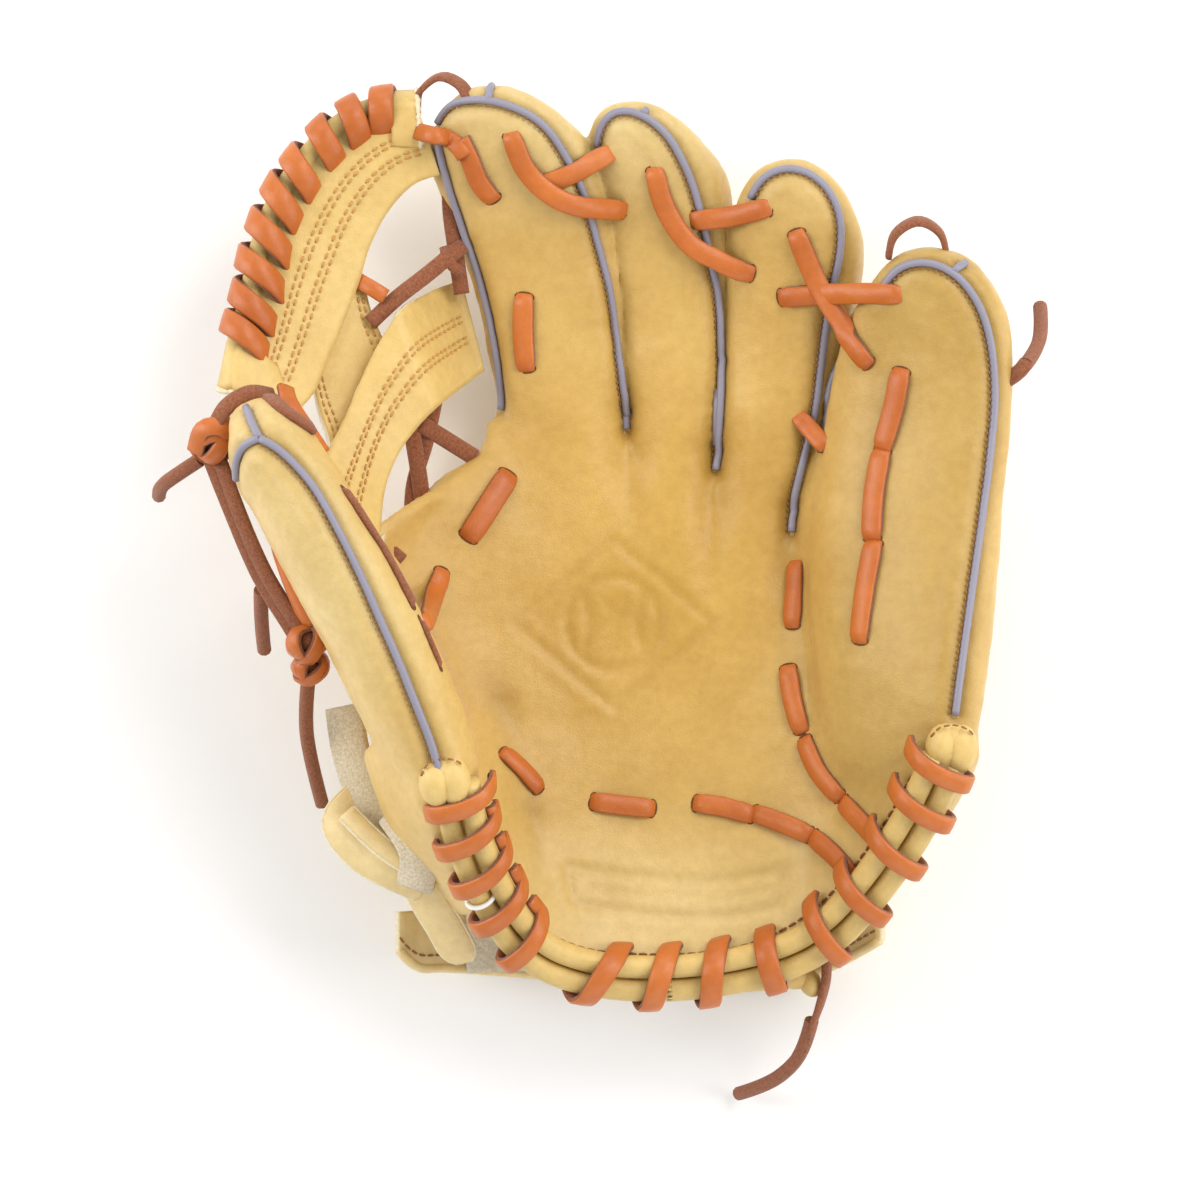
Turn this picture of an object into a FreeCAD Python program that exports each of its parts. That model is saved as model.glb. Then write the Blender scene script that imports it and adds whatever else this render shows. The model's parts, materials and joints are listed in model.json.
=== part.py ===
"""A fielder's baseball glove for the left hand, lying on its back with the pocket up.

Frame: +X towards the little finger, +Y towards the fingertips, +Z up out of the pocket. The shapes are drawn
about the middle of the palm, then every piece is moved by PLACE, which puts the origin under the middle of
the glove on the surface it lies on. Millimetres. Soft parts are plain closed solids of the right size.

Bodies: the palm with the three long fingers stays still, the thumb side and the little finger side fold up
about lines in the palm, and the wrist strap swings away from the heel.
"""
import FreeCAD
import Part
import math
import os

Vector = FreeCAD.Vector
UP = Vector(0, 0, 1)

# Placing of the drawing frame in the part's frame
PLACE = Vector(4.2, -4.4, 0.0)

# Leather, padding and lace
SHELL = 2.2  # outer leather
LINING = 1.3  # inner leather
PAD = 3.0  # felt between shell and lining
GAP = 0.5  # kept between soft layers that lie on each other
LACE_WIDTH = 6.0
LACE_THICK = 2.2
WELT_R = 1.4  # radius of the welting in the finger seams
WELT_OUT = 2.3  # from the shell's edge to the welting's centre
ROLL_R = 3.4  # radius of the rolled binding round the heel
SEAM_TURN = 7.0  # degrees that the front and back leathers stop short of the seam

# Fold lines of the hand: two points each, heel end first
THUMB_FOLD = (Vector(-18, -122, 46), Vector(-104, 100, 58))
PINKY_FOLD = (Vector(56, -122, 46), Vector(70, 90, 42))
FOLD_GAP = 1.3  # half the clearance left along a fold

# Finger stalls, base to tip: x, y, z of the middle, half width, half thickness, tilt of the right side upwards
INDEX = [
    (-17.5, 31, 18.5, 14.5, 12.5, 8),
    (-18, 48, 20, 14.5, 13, 8),
    (-22.5, 78, 25, 15.5, 13.5, 12),
    (-29, 108, 35, 16, 13.5, 16),
    (-34, 130, 46, 17, 12.5, 18),
    (-36, 140, 51, 16.5, 12, 18),
]
MIDDLE = [
    (16, 33, 18, 11.5, 12.5, 6),
    (15.5, 48, 19.5, 12, 13, 8),
    (13.5, 78, 24, 13.5, 13.5, 10),
    (10, 108, 33, 15, 13.5, 13),
    (6, 127, 42, 15, 12.5, 16),
    (3.5, 136, 46.5, 14.5, 12, 16),
]
RING = [
    (46, 31, 24, 12, 12.5, 10),
    (47, 43, 25.5, 12.5, 13, 13),
    (49.5, 63, 29, 13.5, 13.5, 16),
    (51.5, 90, 38, 14.5, 13.5, 20),
    (52, 108, 46, 15, 12.5, 22),
    (51.5, 117.5, 50.5, 14.5, 12, 22),
]
PINKY = [
    (88, -50, 60, 20, 12.5, 38),
    (87.5, -27, 57, 21, 13.5, 36),
    (89.5, 0, 53, 21, 14, 34),
    (91.5, 33, 51, 20, 14, 32),
    (93.5, 54, 53, 19, 13.5, 30),
    (94, 76, 60, 18, 12.5, 28),
    (92.5, 91, 66, 17, 12, 28),
]
THUMB = [
    (-58, -58, 74, 23, 13, -97),
    (-66, -38, 79, 23.5, 13.5, -97),
    (-77, -17, 83, 23, 13.5, -96),
    (-88, 2, 85, 22.5, 13, -95),
    (-99, 20, 85, 21, 12.5, -93),
    (-108, 36, 84, 18.5, 11.5, -90),
    (-113, 46, 82, 17, 11, -90),
]

# Height of the palm's face: at each y, from the thumb fold to the little finger fold
PALM_ROWS = [
    (-122, (45.0, 47.5, 49.0, 49.0, 47.5, 45.0)),
    (-100, (44.5, 44.0, 43.0, 43.0, 44.0, 44.5)),
    (-75, (43.5, 40.0, 37.5, 37.0, 40.0, 43.5)),
    (-50, (43.0, 37.0, 33.5, 33.0, 36.0, 42.5)),
    (-25, (43.0, 35.5, 32.5, 32.0, 34.5, 41.5)),
    (0, (43.5, 36.0, 33.0, 32.5, 35.0, 40.5)),
    (28, (44.0, 36.0, 33.5, 33.0, 35.5, 39.5)),
]
CROTCH = (Vector(-67, 2, 0), Vector(-36, 44, 0))  # the palm's free edge between thumb and forefinger

# Rims of the heel, from the end of the welting down to the middle of the heel
THUMB_RIM = [(-54, -66, 93), (-47, -82, 84), (-38, -97, 72), (-30, -108, 62), (-24.5, -115, 56)]
PINKY_RIM = [(100, -57, 83), (93, -71, 76), (82, -88, 67), (73, -100, 60), (65, -111, 55)]
HEEL_RIM = [(-11, -129, 50), (2, -131, 50.5), (19, -132, 50.5), (36, -131, 50.5), (49, -128.5, 50)]

# Pieces kept together in one file: the same run of lace, or the two lengths of one binding
TOGETHER = {
    "index_back_seam": "index_welting",
    "middle_back_seam": "middle_welting",
    "ring_back_seam": "ring_welting",
    "pinky_back_seam": "pinky_welting",
    "thumb_back_seam": "thumb_welting",
    "index_middle_lace": "finger_lace",
    "middle_ring_lace": "finger_lace",
    "ring_pinky_lace": "finger_lace",
    "index_palm_lace": "finger_lace",
    "heel_knot": "heel_lace",
    "web_post_index": "web_top_index",
    "web_post_thumb": "web_top_thumb",
    "index_web_lace": "web_lace_index",
    "thumb_web_lace": "web_lace_thumb",
    "thumb_outer_binding": "thumb_binding",
    "thumb_upper_knot": "thumb_knots",
    "thumb_lower_knot": "thumb_knots",
    "thumb_back_lace": "thumb_knots",
    "thumb_heel": "thumb_palm",
    "pinky_outer_binding": "pinky_binding",
    "pinky_heel_stitch": "pinky_lace",
    "pinky_knot": "pinky_lace",
    "pinky_palm_lace": "pinky_lace",
    "pull_knot": "thumb_pull_thong",
    "pull_thong": "thumb_pull_thong",
    "wrist_strap_welting": "wrist_strap",
}

parts = {}


def add(name, shape):
    """Keeps a piece under its name, moved to the part's frame."""
    shape = shape.copy()
    shape.translate(PLACE)
    parts.setdefault(TOGETHER.get(name, name), []).append(shape)


def blend(rows, s):
    """Row of numbers at place s along a list of rows, on a Catmull-Rom curve."""
    last = len(rows) - 1
    s = max(0.0, min(float(last), s))
    i = min(int(s), last - 1)
    u = s - i
    p0, p1, p2, p3 = (rows[max(0, min(last, i + k))] for k in (-1, 0, 1, 2))
    return [
        0.5 * (2 * b + (c - a) * u + (2 * a - 5 * b + 4 * c - d) * u * u + (3 * b - a - 3 * c + d) * u**3)
        for a, b, c, d in zip(p0, p1, p2, p3)
    ]


def spline(points):
    """Edge of a smooth curve through points."""
    curve = Part.BSplineCurve()
    curve.interpolate([Vector(*p) for p in points])
    return curve.toShape()


def loop(*edges):
    return Part.Wire(list(edges))


def loft(wires, ruled=False):
    return Part.makeLoft(wires, True, ruled)


def polygon(points):
    return Part.makePolygon([Vector(*p) for p in points] + [Vector(*points[0])])


class Station:
    """One cross-section of a finger stall, in the upright plane square to the stall's way."""

    def __init__(self, row, way, size):
        x, y, z, wide, thick, tilt = row
        self.middle = Vector(x, y, z)
        self.way = way
        self.right = Vector(way.y, -way.x, 0)
        self.wide = wide * size
        self.thick = thick * size
        self.tilt = math.radians(tilt)

    def point(self, turn, inset=0.0, out=0.0):
        """Point of the ellipse at an angle from its right end, inset from the surface."""
        wide = max(self.wide - inset, 0.35 * self.wide) + out
        thick = max(self.thick - inset, 0.35 * self.thick) + out
        w = wide * math.cos(math.radians(turn))
        n = thick * math.sin(math.radians(turn))
        across = w * math.cos(self.tilt) - n * math.sin(self.tilt)
        up = w * math.sin(self.tilt) + n * math.cos(self.tilt)
        return self.middle + self.right * across + UP * up


TIP_STEPS = (1.0, 0.78, 0.55, 0.34, 0.17, 0.06)  # places in the rounded tip, as shares of its length


def stations(rows, first=0.0):
    """Cross-sections of a stall from place first to its rounded tip."""
    last = len(rows) - 1
    tip = Vector(rows[-1][0], rows[-1][1], 0)
    tip_length = 0.95 * rows[-1][3] if abs(rows[-1][5]) < 60 else 1.2 * rows[-1][4]
    places = [first + (last - first) * k / 40.0 for k in range(41)]
    plan = [blend(rows, s) for s in places]

    def from_tip(row):
        return (Vector(row[0], row[1], 0) - tip).Length

    body = [s for s, row in zip(places, plan) if from_tip(row) > tip_length * 1.08]
    chosen = [(s, 1.0) for s in body[::4]]
    if body[-1] - chosen[-1][0] > 0.05:
        chosen.append((body[-1], 1.0))
    for share in TIP_STEPS:
        wanted = share * tip_length
        s = min(places, key=lambda p: abs(from_tip(blend(rows, p)) - wanted))
        low, high = s - 0.2, s + 0.2
        for _ in range(25):
            mid = 0.5 * (low + high)
            if from_tip(blend(rows, mid)) > wanted:
                low = mid
            else:
                high = mid
        chosen.append((0.5 * (low + high), math.sqrt(1 - (1 - share) ** 2)))
    found = []
    for s, size in chosen:
        row = blend(rows, s)
        ahead, behind = blend(rows, s + 0.05), blend(rows, s - 0.05)
        way = Vector(ahead[0] - behind[0], ahead[1] - behind[1], 0)
        way.normalize()
        found.append(Station(row, way, size))
    return found


def half_stall(rows, front, inset=0.0, thick=SHELL, first=0.0):
    """Front or back leather of a stall."""
    start = 0 if front else 180
    turns = [start + SEAM_TURN + (180 - 2 * SEAM_TURN) * k / 8.0 for k in range(9)]
    wires = []
    for st in stations(rows, first):
        outer = [st.point(a, inset) for a in turns]
        inner = [st.point(a, inset + thick) for a in reversed(turns)]
        wires.append(
            loop(
                spline(outer),
                Part.makeLine(outer[-1], inner[0]),
                spline(inner),
                Part.makeLine(inner[-1], outer[0]),
            )
        )
    return loft(wires)


def ring_wire(points):
    curve = Part.BSplineCurve()
    curve.interpolate(points, True)
    return Part.Wire([curve.toShape()])


def tube_stall(rows, inset, thick, first=0.0):
    """Closed-ended inner lining of a stall, open at its base."""
    turns = [30.0 * k for k in range(12)]
    cuts = stations(rows, first)
    outer = loft([ring_wire([st.point(a, inset) for a in turns]) for st in cuts])
    inner = loft([ring_wire([st.point(a, inset + thick) for a in turns]) for st in cuts[:-2]])
    return outer.cut(inner)


def rod(points, radius, ruled=True):
    """Round rod along points, with no sharp turns."""
    wires = []
    for i, p in enumerate(points):
        a = points[max(0, i - 1)]
        b = points[min(len(points) - 1, i + 1)]
        wires.append(Part.Wire([Part.makeCircle(radius, p, b - a)]))
    return loft(wires, ruled)


def along(rows, count):
    """Points on the smooth curve through rows of x, y, z."""
    return [Vector(*blend(rows, (len(rows) - 1) * k / float(count - 1))) for k in range(count)]


def seam_path(rows, first=0.0):
    """Points of the welting: up the left seam, over the tip and down the right seam."""
    cuts = stations(rows, first)
    left = [st.point(180) for st in cuts]
    right = [st.point(0) for st in cuts]
    line = left + right[::-1]
    moved = []
    for i, p in enumerate(line):
        a, b = line[max(0, i - 1)], line[min(len(line) - 1, i + 1)]
        way = b - a
        st = cuts[i] if i < len(cuts) else cuts[2 * len(cuts) - 1 - i]
        normal = st.right * -math.sin(st.tilt) + UP * math.cos(st.tilt)
        out = normal.cross(way)
        out.normalize()
        moved.append(p - out * -WELT_OUT if (out.dot(p - st.middle) > 0) else p - out * WELT_OUT)
    return moved


def strap(points, normals, width=LACE_WIDTH, thick=LACE_THICK):
    """Flat lace along points, each with the way its outer face looks. The points run along its inner face."""
    wires = []
    for i, (p, n) in enumerate(zip(points, normals)):
        a, b = points[max(0, i - 1)], points[min(len(points) - 1, i + 1)]
        way = b - a
        side = way.cross(n)
        side.normalize()
        n = Vector(n)
        n.normalize()
        corner = [p - side * (width / 2), p + side * (width / 2)]
        wires.append(polygon([corner[0], corner[1], corner[1] + n * thick, corner[0] + n * thick]))
    return loft(wires, True)


def staple(middle, way, inward, reach, opening, width=LACE_WIDTH, thick=LACE_THICK):
    """One turn of lace round an edge: a U whose legs run inward above and below the leather."""
    way = Vector(way)
    way.normalize()
    up = way.cross(inward)
    up.normalize()
    if up.z < 0:
        up = up * -1
    inward = up.cross(way)
    inward.normalize()
    if inward.dot(Vector(0, 0, 0) - middle) < 0:
        inward = inward * -1
    half = opening / 2.0
    outline = [
        (reach, half),
        (-half, half),
        (-half, -half),
        (reach, -half),
        (reach, -half - thick),
        (-half - thick, -half - thick),
        (-half - thick, half + thick),
        (reach, half + thick),
    ]
    start = middle - way * (width / 2)
    wire = polygon([start + inward * a + up * b for a, b in outline])
    return Part.Face(wire).extrude(way * width)


def fold_x(fold, y):
    """x of a fold line at y."""
    a, b = fold
    return a.x + (b.x - a.x) * (y - a.y) / (b.y - a.y)


def palm_height(x, y):
    """Height of the palm's face between the folds."""
    ys = [row[0] for row in PALM_ROWS]
    y = max(ys[0], min(ys[-1], y))
    i = max(k for k in range(len(ys) - 1) if ys[k] <= y or k == 0)
    s = i + (y - ys[i]) / (ys[i + 1] - ys[i])
    heights = blend([row[1] for row in PALM_ROWS], s)
    left, right = fold_x(THUMB_FOLD, y), fold_x(PINKY_FOLD, y)
    u = max(0.0, min(1.0, (x - left) / (right - left))) * (len(heights) - 1)
    return blend([(h,) for h in heights], u)[0]


def cut_side(shape, fold, keep_right, gap=FOLD_GAP):
    """The part of a shape that lies on one side of the upright plane through a fold line."""
    a, b = fold
    way = Vector(b.x - a.x, b.y - a.y, 0)
    way.normalize()
    right = Vector(way.y, -way.x, 0)
    if not keep_right:
        right = right * -1
    base = a - way * 200 + right * gap
    base.z = -50
    corners = [base, base + way * 700, base + way * 700 + right * 400, base + right * 400]
    block = Part.Face(polygon(corners)).extrude(UP * 300)
    return shape.common(block)


def palm_layer(depth, thick, side=None):
    """A layer of the palm, its upper face depth below the palm's face."""
    rows = [-121, -110, -95, -80, -65, -50, -35, -20, -5, 10, 28]
    wires = []
    for y in rows:
        left, right = fold_x(THUMB_FOLD, y) + FOLD_GAP, fold_x(PINKY_FOLD, y) - FOLD_GAP
        if y > CROTCH[0].y:
            share = (y - CROTCH[0].y) / (CROTCH[1].y - CROTCH[0].y)
            left = CROTCH[0].x + share * (CROTCH[1].x - CROTCH[0].x)
        xs = [left + (right - left) * k / 8.0 for k in range(9)]
        top = [Vector(x, y, palm_height(x, y) - depth) for x in xs]
        low = [Vector(x, y, palm_height(x, y) - depth - thick) for x in reversed(xs)]
        wires.append(
            loop(spline(top), Part.makeLine(top[-1], low[0]), spline(low), Part.makeLine(low[-1], top[0]))
        )
    return loft(wires)


def wall(lines, thick):
    """Upright sheet through a list of (foot, middle, top) points, thick to its outer side."""
    wires = []
    for foot, mid, top, out in lines:
        shift = Vector(*out)
        shift.normalize()
        shift = shift * thick
        inner = [Vector(*foot), Vector(*mid), Vector(*top)]
        outer = [p + shift for p in reversed(inner)]
        wires.append(
            loop(
                spline(inner), Part.makeLine(inner[-1], outer[0]), spline(outer), Part.makeLine(outer[-1], inner[0])
            )
        )
    return loft(wires)


def sheet(rows, shift):
    """Thin solid through rows of points, its thickness along shift."""
    wires = []
    for row in rows:
        top = [Vector(*p) for p in row]
        low = [p + shift for p in reversed(top)]
        wires.append(
            loop(spline(top), Part.makeLine(top[-1], low[0]), spline(low), Part.makeLine(low[-1], top[0]))
        )
    return loft(wires)


def plate(rows, shift):
    """The same with straight edges between the points, so that a level stretch stays level."""
    wires = []
    for row in rows:
        top = [Vector(*p) for p in row]
        wires.append(polygon(top + [p + shift for p in reversed(top)]))
    return loft(wires, True)


def lump(middle, rx, ry, rz):
    """Rounded lump, for a knot."""
    ball = Part.makeSphere(1.0)
    grow = FreeCAD.Matrix()
    grow.scale(rx, ry, rz)
    shape = ball.transformGeometry(grow)
    shape.translate(Vector(*middle))
    return shape


def coil(line, out, wraps, wide, high, width=5.5, thick=2.0, start=0.5, steps=14):
    """Whip lace: an oval coil of flat lace round a line, out being the way of the oval's long side."""
    points, normals = [], []
    total = int(wraps * steps)
    for k in range(total + 1):
        share = k / float(total)
        p = Vector(*blend(line, share * (len(line) - 1)))
        ahead = Vector(*blend(line, min(1.0, share + 0.01) * (len(line) - 1)))
        behind = Vector(*blend(line, max(0.0, share - 0.01) * (len(line) - 1)))
        way = ahead - behind
        way.normalize()
        side = Vector(*out) - way * way.dot(Vector(*out))
        side.normalize()
        up = side.cross(way)
        if up.z < 0:
            up = up * -1
        turn = 2 * math.pi * (start + share * wraps)
        points.append(p + side * (wide * math.cos(turn)) + up * (high * math.sin(turn)))
        normals.append(side * (high * math.cos(turn)) + up * (wide * math.sin(turn)))
    wires = []
    for i, (p, n) in enumerate(zip(points, normals)):
        n = Vector(n)
        n.normalize()
        share = i / float(total)
        ahead = Vector(*blend(line, min(1.0, share + 0.01) * (len(line) - 1)))
        behind = Vector(*blend(line, max(0.0, share - 0.01) * (len(line) - 1)))
        way = ahead - behind
        way.normalize()
        a, b = p - way * (width / 2), p + way * (width / 2)
        wires.append(polygon([a, b, b + n * thick, a + n * thick]))
    return loft(wires, True)


def stitch(a, b, up=UP, width=LACE_WIDTH, thick=LACE_THICK, leg=1.7):
    """One visible stitch of flat lace: a bar over the leather with a leg through it at each end.

    a and b lie on the leather's outer face. Returns the stitch and the two holes it needs.
    """
    a, b = Vector(*a), Vector(*b)
    way = b - a
    length = way.Length
    way.normalize()
    side = way.cross(up)
    side.normalize()
    top = side.cross(way)
    base = a - side * (width / 2) + top * 0.9
    outline = [(0, -leg), (thick, -leg), (thick, 0), (length - thick, 0), (length - thick, -leg), (length, -leg)]
    outline += [(length, thick), (0, thick)]
    wire = polygon([base + way * x + top * z for x, z in outline])
    shape = Part.Face(wire).extrude(side * width)
    holes = []
    for x in (-0.4, length - thick - 0.4):
        low = base - side * 0.4 + way * x - top * (leg + 2.0)
        corners = [low, low + way * (thick + 0.8), low + way * (thick + 0.8) + side * (width + 0.8)]
        corners.append(low + side * (width + 0.8))
        holes.append(Part.Face(polygon(corners)).extrude(top * (leg + 6)))
    return shape, holes


def punch(name, holes):
    """Cuts holes in a kept piece."""
    move = []
    for hole in holes:
        hole = hole.copy()
        hole.translate(PLACE)
        move.append(hole)
    parts[name] = [shape.cut(move) for shape in parts[name]]


def make_stall(name, rows):
    """Front, back, lining and welting of one finger stall."""
    add(name + "_front", half_stall(rows, True))
    add(name + "_back", half_stall(rows, False))
    add(name + "_lining", tube_stall(rows, SHELL + 2 * GAP, LINING))
    add(name + "_welting", rod(seam_path(rows), WELT_R))


def make_back_seam(name, rows, turn=270):
    """Welting down the middle of a finger's back."""
    cuts = stations(rows)[:-2]
    add(name + "_back_seam", rod([st.point(turn, 0.0, 0.9 + WELT_R) for st in cuts], WELT_R))


def make_palm():
    add("palm_shell", palm_layer(0.0, SHELL))
    add("palm_pad", palm_layer(SHELL + GAP, PAD))
    add("palm_lining", palm_layer(SHELL + PAD + 2 * GAP, LINING))
    profile = [(-46, 17), (-38, 9), (-28, 3.2), (-16, 0), (40, 0), (50, 3.5), (58, 10)]
    rows = [[(x, y, z) for x, z in profile] for y in (-62, -40, -15, 8, 26)]
    add("back_of_hand", plate(rows, Vector(0, 0, SHELL)))
    rows = [[(x * 0.93, y, z + SHELL + GAP) for x, z in profile] for y in (-58, -38, -15, 8, 22)]
    add("back_lining", plate(rows, Vector(0, 0, LINING)))
    add("heel_binding", rod(along(HEEL_RIM, 17), ROLL_R))
    add("heel_lace", coil(HEEL_RIM, (0, 1, 0), 5, ROLL_R + 0.5, ROLL_R + 0.5))


def thumb_rim_at(y):
    rim = [(p[1], p) for p in THUMB_RIM]
    for (y0, a), (y1, b) in zip(rim, rim[1:]):
        if y1 <= y <= y0:
            s = (y - y0) / (y1 - y0)
            return [a[k] + s * (b[k] - a[k]) for k in range(3)]
    return rim[0][1]


def pinky_rim_at(y):
    rim = [(p[1], p) for p in PINKY_RIM]
    for (y0, a), (y1, b) in zip(rim, rim[1:]):
        if y1 <= y <= y0:
            s = (y - y0) / (y1 - y0)
            return [a[k] + s * (b[k] - a[k]) for k in range(3)]
    return rim[0][1]


def side_rows(rim_at, fold, sign, ys, depth, stop=9.0):
    """Rows of a heel's side panel from the fold up to the rim, sunk by depth."""
    rows = []
    for y in ys:
        x0 = fold_x(fold, y) + sign * FOLD_GAP
        z0 = palm_height(fold_x(fold, y), y)
        rx, ry, rz = rim_at(y)
        rz -= stop + ROLL_R
        row = []
        for k in range(5):
            t = k / 4.0
            x = x0 + (rx - sign * 2.5 - x0) * t
            z = z0 + (rz - z0) * (0.75 * t + 0.25 * t * t)
            row.append((x + sign * depth, y, z - 0.35 * depth))
        rows.append(row)
    return rows


def make_thumb():
    make_stall("thumb", THUMB)
    heel = [-113, -104, -94, -84, -75, -67]
    out = Vector(-1, 0, -0.25)
    out.normalize()
    add("thumb_heel", sheet(side_rows(thumb_rim_at, THUMB_FOLD, -1, heel, 0), out * SHELL))
    inner = side_rows(thumb_rim_at, THUMB_FOLD, -1, heel[1:], SHELL + GAP, 11.0)
    add("thumb_heel_pad", sheet(inner, out * PAD))
    inner = side_rows(thumb_rim_at, THUMB_FOLD, -1, heel[1:], SHELL + PAD + 2 * GAP, 12.0)
    add("thumb_heel_lining", sheet(inner, out * LINING))
    rows = []
    for st in stations(THUMB):
        y = st.middle.y
        if y > -4:
            break
        low = st.point(0)
        x0, z0 = fold_x(THUMB_FOLD, y) - FOLD_GAP, palm_height(fold_x(THUMB_FOLD, y), y)
        x1, z1 = low.x + 2.5, low.z - 3.0
        rows.append([(x0 + (x1 - x0) * t, y, z0 + (z1 - z0) * t * t) for t in (0, 0.34, 0.67, 1.0)])
    add("thumb_palm", sheet(rows, Vector(0, 0, -SHELL)))
    wall_rows = []
    for y in (-88, -81, -74, -66):
        rx, ry, rz = thumb_rim_at(y)
        wall_rows.append([(rx - 9, y, rz - 12), (rx - 14, y, rz * 0.62), (rx - 13, y, rz * 0.3), (rx - 4, y, 8)])
    add("thumb_side", sheet(wall_rows, Vector(-SHELL, 0, 0)))
    rim = [(x, y, z) for x, y, z in THUMB_RIM]
    add("thumb_binding", rod(along(rim, 17), ROLL_R))
    rim = [(x - 6.6, y - 4.2, z - 1.5) for x, y, z in THUMB_RIM]
    add("thumb_outer_binding", rod(along(rim, 17), ROLL_R - 0.3))
    rim = [(x - 3.3, y - 2.1, z - 0.7) for x, y, z in THUMB_RIM]
    add("thumb_heel_lace", coil(rim, (-0.8, -0.55, -0.15), 4.6, 2 * ROLL_R + 2.6, ROLL_R + 1.6))


def make_pinky():
    make_stall("pinky", PINKY)
    heel = [-112, -103, -93, -83, -72, -62]
    out = Vector(1, 0, -0.25)
    out.normalize()
    add("pinky_heel", sheet(side_rows(pinky_rim_at, PINKY_FOLD, 1, heel, 0, 10.0), out * SHELL))
    inner = side_rows(pinky_rim_at, PINKY_FOLD, 1, heel[1:], SHELL + GAP, 11.0)
    add("pinky_heel_pad", sheet(inner, out * PAD))
    inner = side_rows(pinky_rim_at, PINKY_FOLD, 1, heel[1:], SHELL + PAD + 2 * GAP, 12.0)
    add("pinky_heel_lining", sheet(inner, out * LINING))
    wall_rows = []
    for y in (-96, -86, -76, -64):
        rx, ry, rz = pinky_rim_at(y)
        wall_rows.append([(rx + 9, y, rz - 12), (rx + 10, y, rz * 0.65), (rx + 5, y, rz * 0.35), (rx - 12, y, 12)])
    add("pinky_side", sheet(wall_rows, Vector(SHELL, 0, 0)))
    add("pinky_binding", rod(along(PINKY_RIM, 17), ROLL_R))
    rim = [(x + 6.4, y - 4.4, z - 1.5) for x, y, z in PINKY_RIM]
    add("pinky_outer_binding", rod(along(rim, 17), ROLL_R - 0.3))
    rim = [(x + 3.2, y - 2.2, z - 0.7) for x, y, z in PINKY_RIM]
    add("pinky_heel_lace", coil(rim, (0.8, -0.6, -0.15), 4.6, 2 * ROLL_R + 2.6, ROLL_R + 1.6))


# Web: edges in plan, from the forefinger side round to the thumb side
WEB_TOP = [(-60, 136), (-74, 136), (-86, 130), (-97, 118.5), (-104.5, 106), (-109, 92), (-112, 78), (-115.5, 64), (-117, 55)]
WEB_TOP_IN = [(-57, 117), (-65, 112), (-71, 104), (-75.5, 96), (-79, 87), (-84, 76), (-90, 64), (-96, 53), (-100, 45)]
WEB_LOW_OUT = [(-50, 82), (-58, 80), (-66, 74), (-72, 64.5), (-77, 54), (-82, 43), (-87, 32), (-87, 25)]
WEB_LOW_IN = [(-42, 58), (-48, 52), (-55, 46), (-61, 39.5), (-66.5, 32), (-70, 24), (-72, 16), (-73, 10)]
WEB_INDEX = (Vector(-40, 38, 0), Vector(-58, 140, 0))
WEB_THUMB = (Vector(-73, 8, 0), Vector(-119, 56, 0))


def web_height(x, y):
    """Height of the web between the forefinger and the thumb, a little bagged."""

    def gap(line):
        a, b = line
        way = b - a
        return abs((x - a.x) * way.y - (y - a.y) * way.x) / way.Length

    near, far = gap(WEB_INDEX), gap(WEB_THUMB)
    t = near / max(1e-6, near + far)
    rise = max(0.0, min(1.0, (y - 10) / 120.0))
    return 41 + 5 * rise + 19 * t - 20 * t * (1 - t)


def web_sheet(outer, inner, lift, thick):
    rows = []
    for a, b in zip(outer, inner):
        row = []
        for t in (0, 0.33, 0.67, 1.0):
            x, y = a[0] + (b[0] - a[0]) * t, a[1] + (b[1] - a[1]) * t
            row.append((x, y, web_height(x, y) + lift))
        rows.append(row)
    return sheet(rows, Vector(0, 0, thick))


def make_web():
    bar = web_sheet(WEB_TOP, WEB_TOP_IN, 0.0, 4.0)
    add("web_top_index", cut_side(bar, THUMB_FOLD, True))
    add("web_top_thumb", cut_side(bar, THUMB_FOLD, False))
    post = web_sheet([(-89.5, 62), (-91, 55), (-90, 44), (-88, 36)], [(-79.5, 82), (-73, 78), (-72, 66), (-72, 58)], -0.6, 2.5)
    add("web_post_index", cut_side(post, THUMB_FOLD, True, 3.5))
    add("web_post_thumb", cut_side(post, THUMB_FOLD, False, 3.5))
    low = web_sheet(WEB_LOW_OUT, WEB_LOW_IN, 4.6, 3.2)
    add("web_low_index", cut_side(low, THUMB_FOLD, True, 4.2))
    add("web_low_thumb", cut_side(low, THUMB_FOLD, False, 4.2))
    edge = []
    for (x, y), (u, v) in zip(WEB_TOP, WEB_TOP_IN):
        way = Vector(x - u, y - v, 0)
        way.normalize()
        edge.append((x + way.x * 5.8, y + way.y * 5.8, web_height(x, y) + 2))
    bind = rod(along(edge, 33), 2.3)
    add("web_binding_index", cut_side(bind, THUMB_FOLD, True))
    add("web_binding_thumb", cut_side(bind, THUMB_FOLD, False))
    add("web_lace_index", coil(edge[:4], (-1, 1, 0), 4, 3.2, 3.2, 5.5, 1.8, 0.25))
    add("web_lace_thumb", coil(edge[5:], (-1, 0.2, 0), 4, 3.2, 3.2, 5.5, 1.8, 0.25))


def simple_strap(points, up=UP, width=LACE_WIDTH, thick=LACE_THICK):
    points = along(points, 4 * len(points))
    normals = [Vector(*up) for _ in points]
    return strap(points, normals, width, thick)


def top_z(names, x, y):
    """Height of the highest leather over a place in the drawing frame, or None."""
    line = Part.makeLine(Vector(x, y, -20) + PLACE, Vector(x, y, 180) + PLACE)
    best = None
    for name in names:
        for shape in parts[name]:
            cut = line.common(shape)
            if cut.Edges:
                z = cut.BoundBox.ZMax - PLACE.z
                best = z if best is None else max(best, z)
    return best


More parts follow.
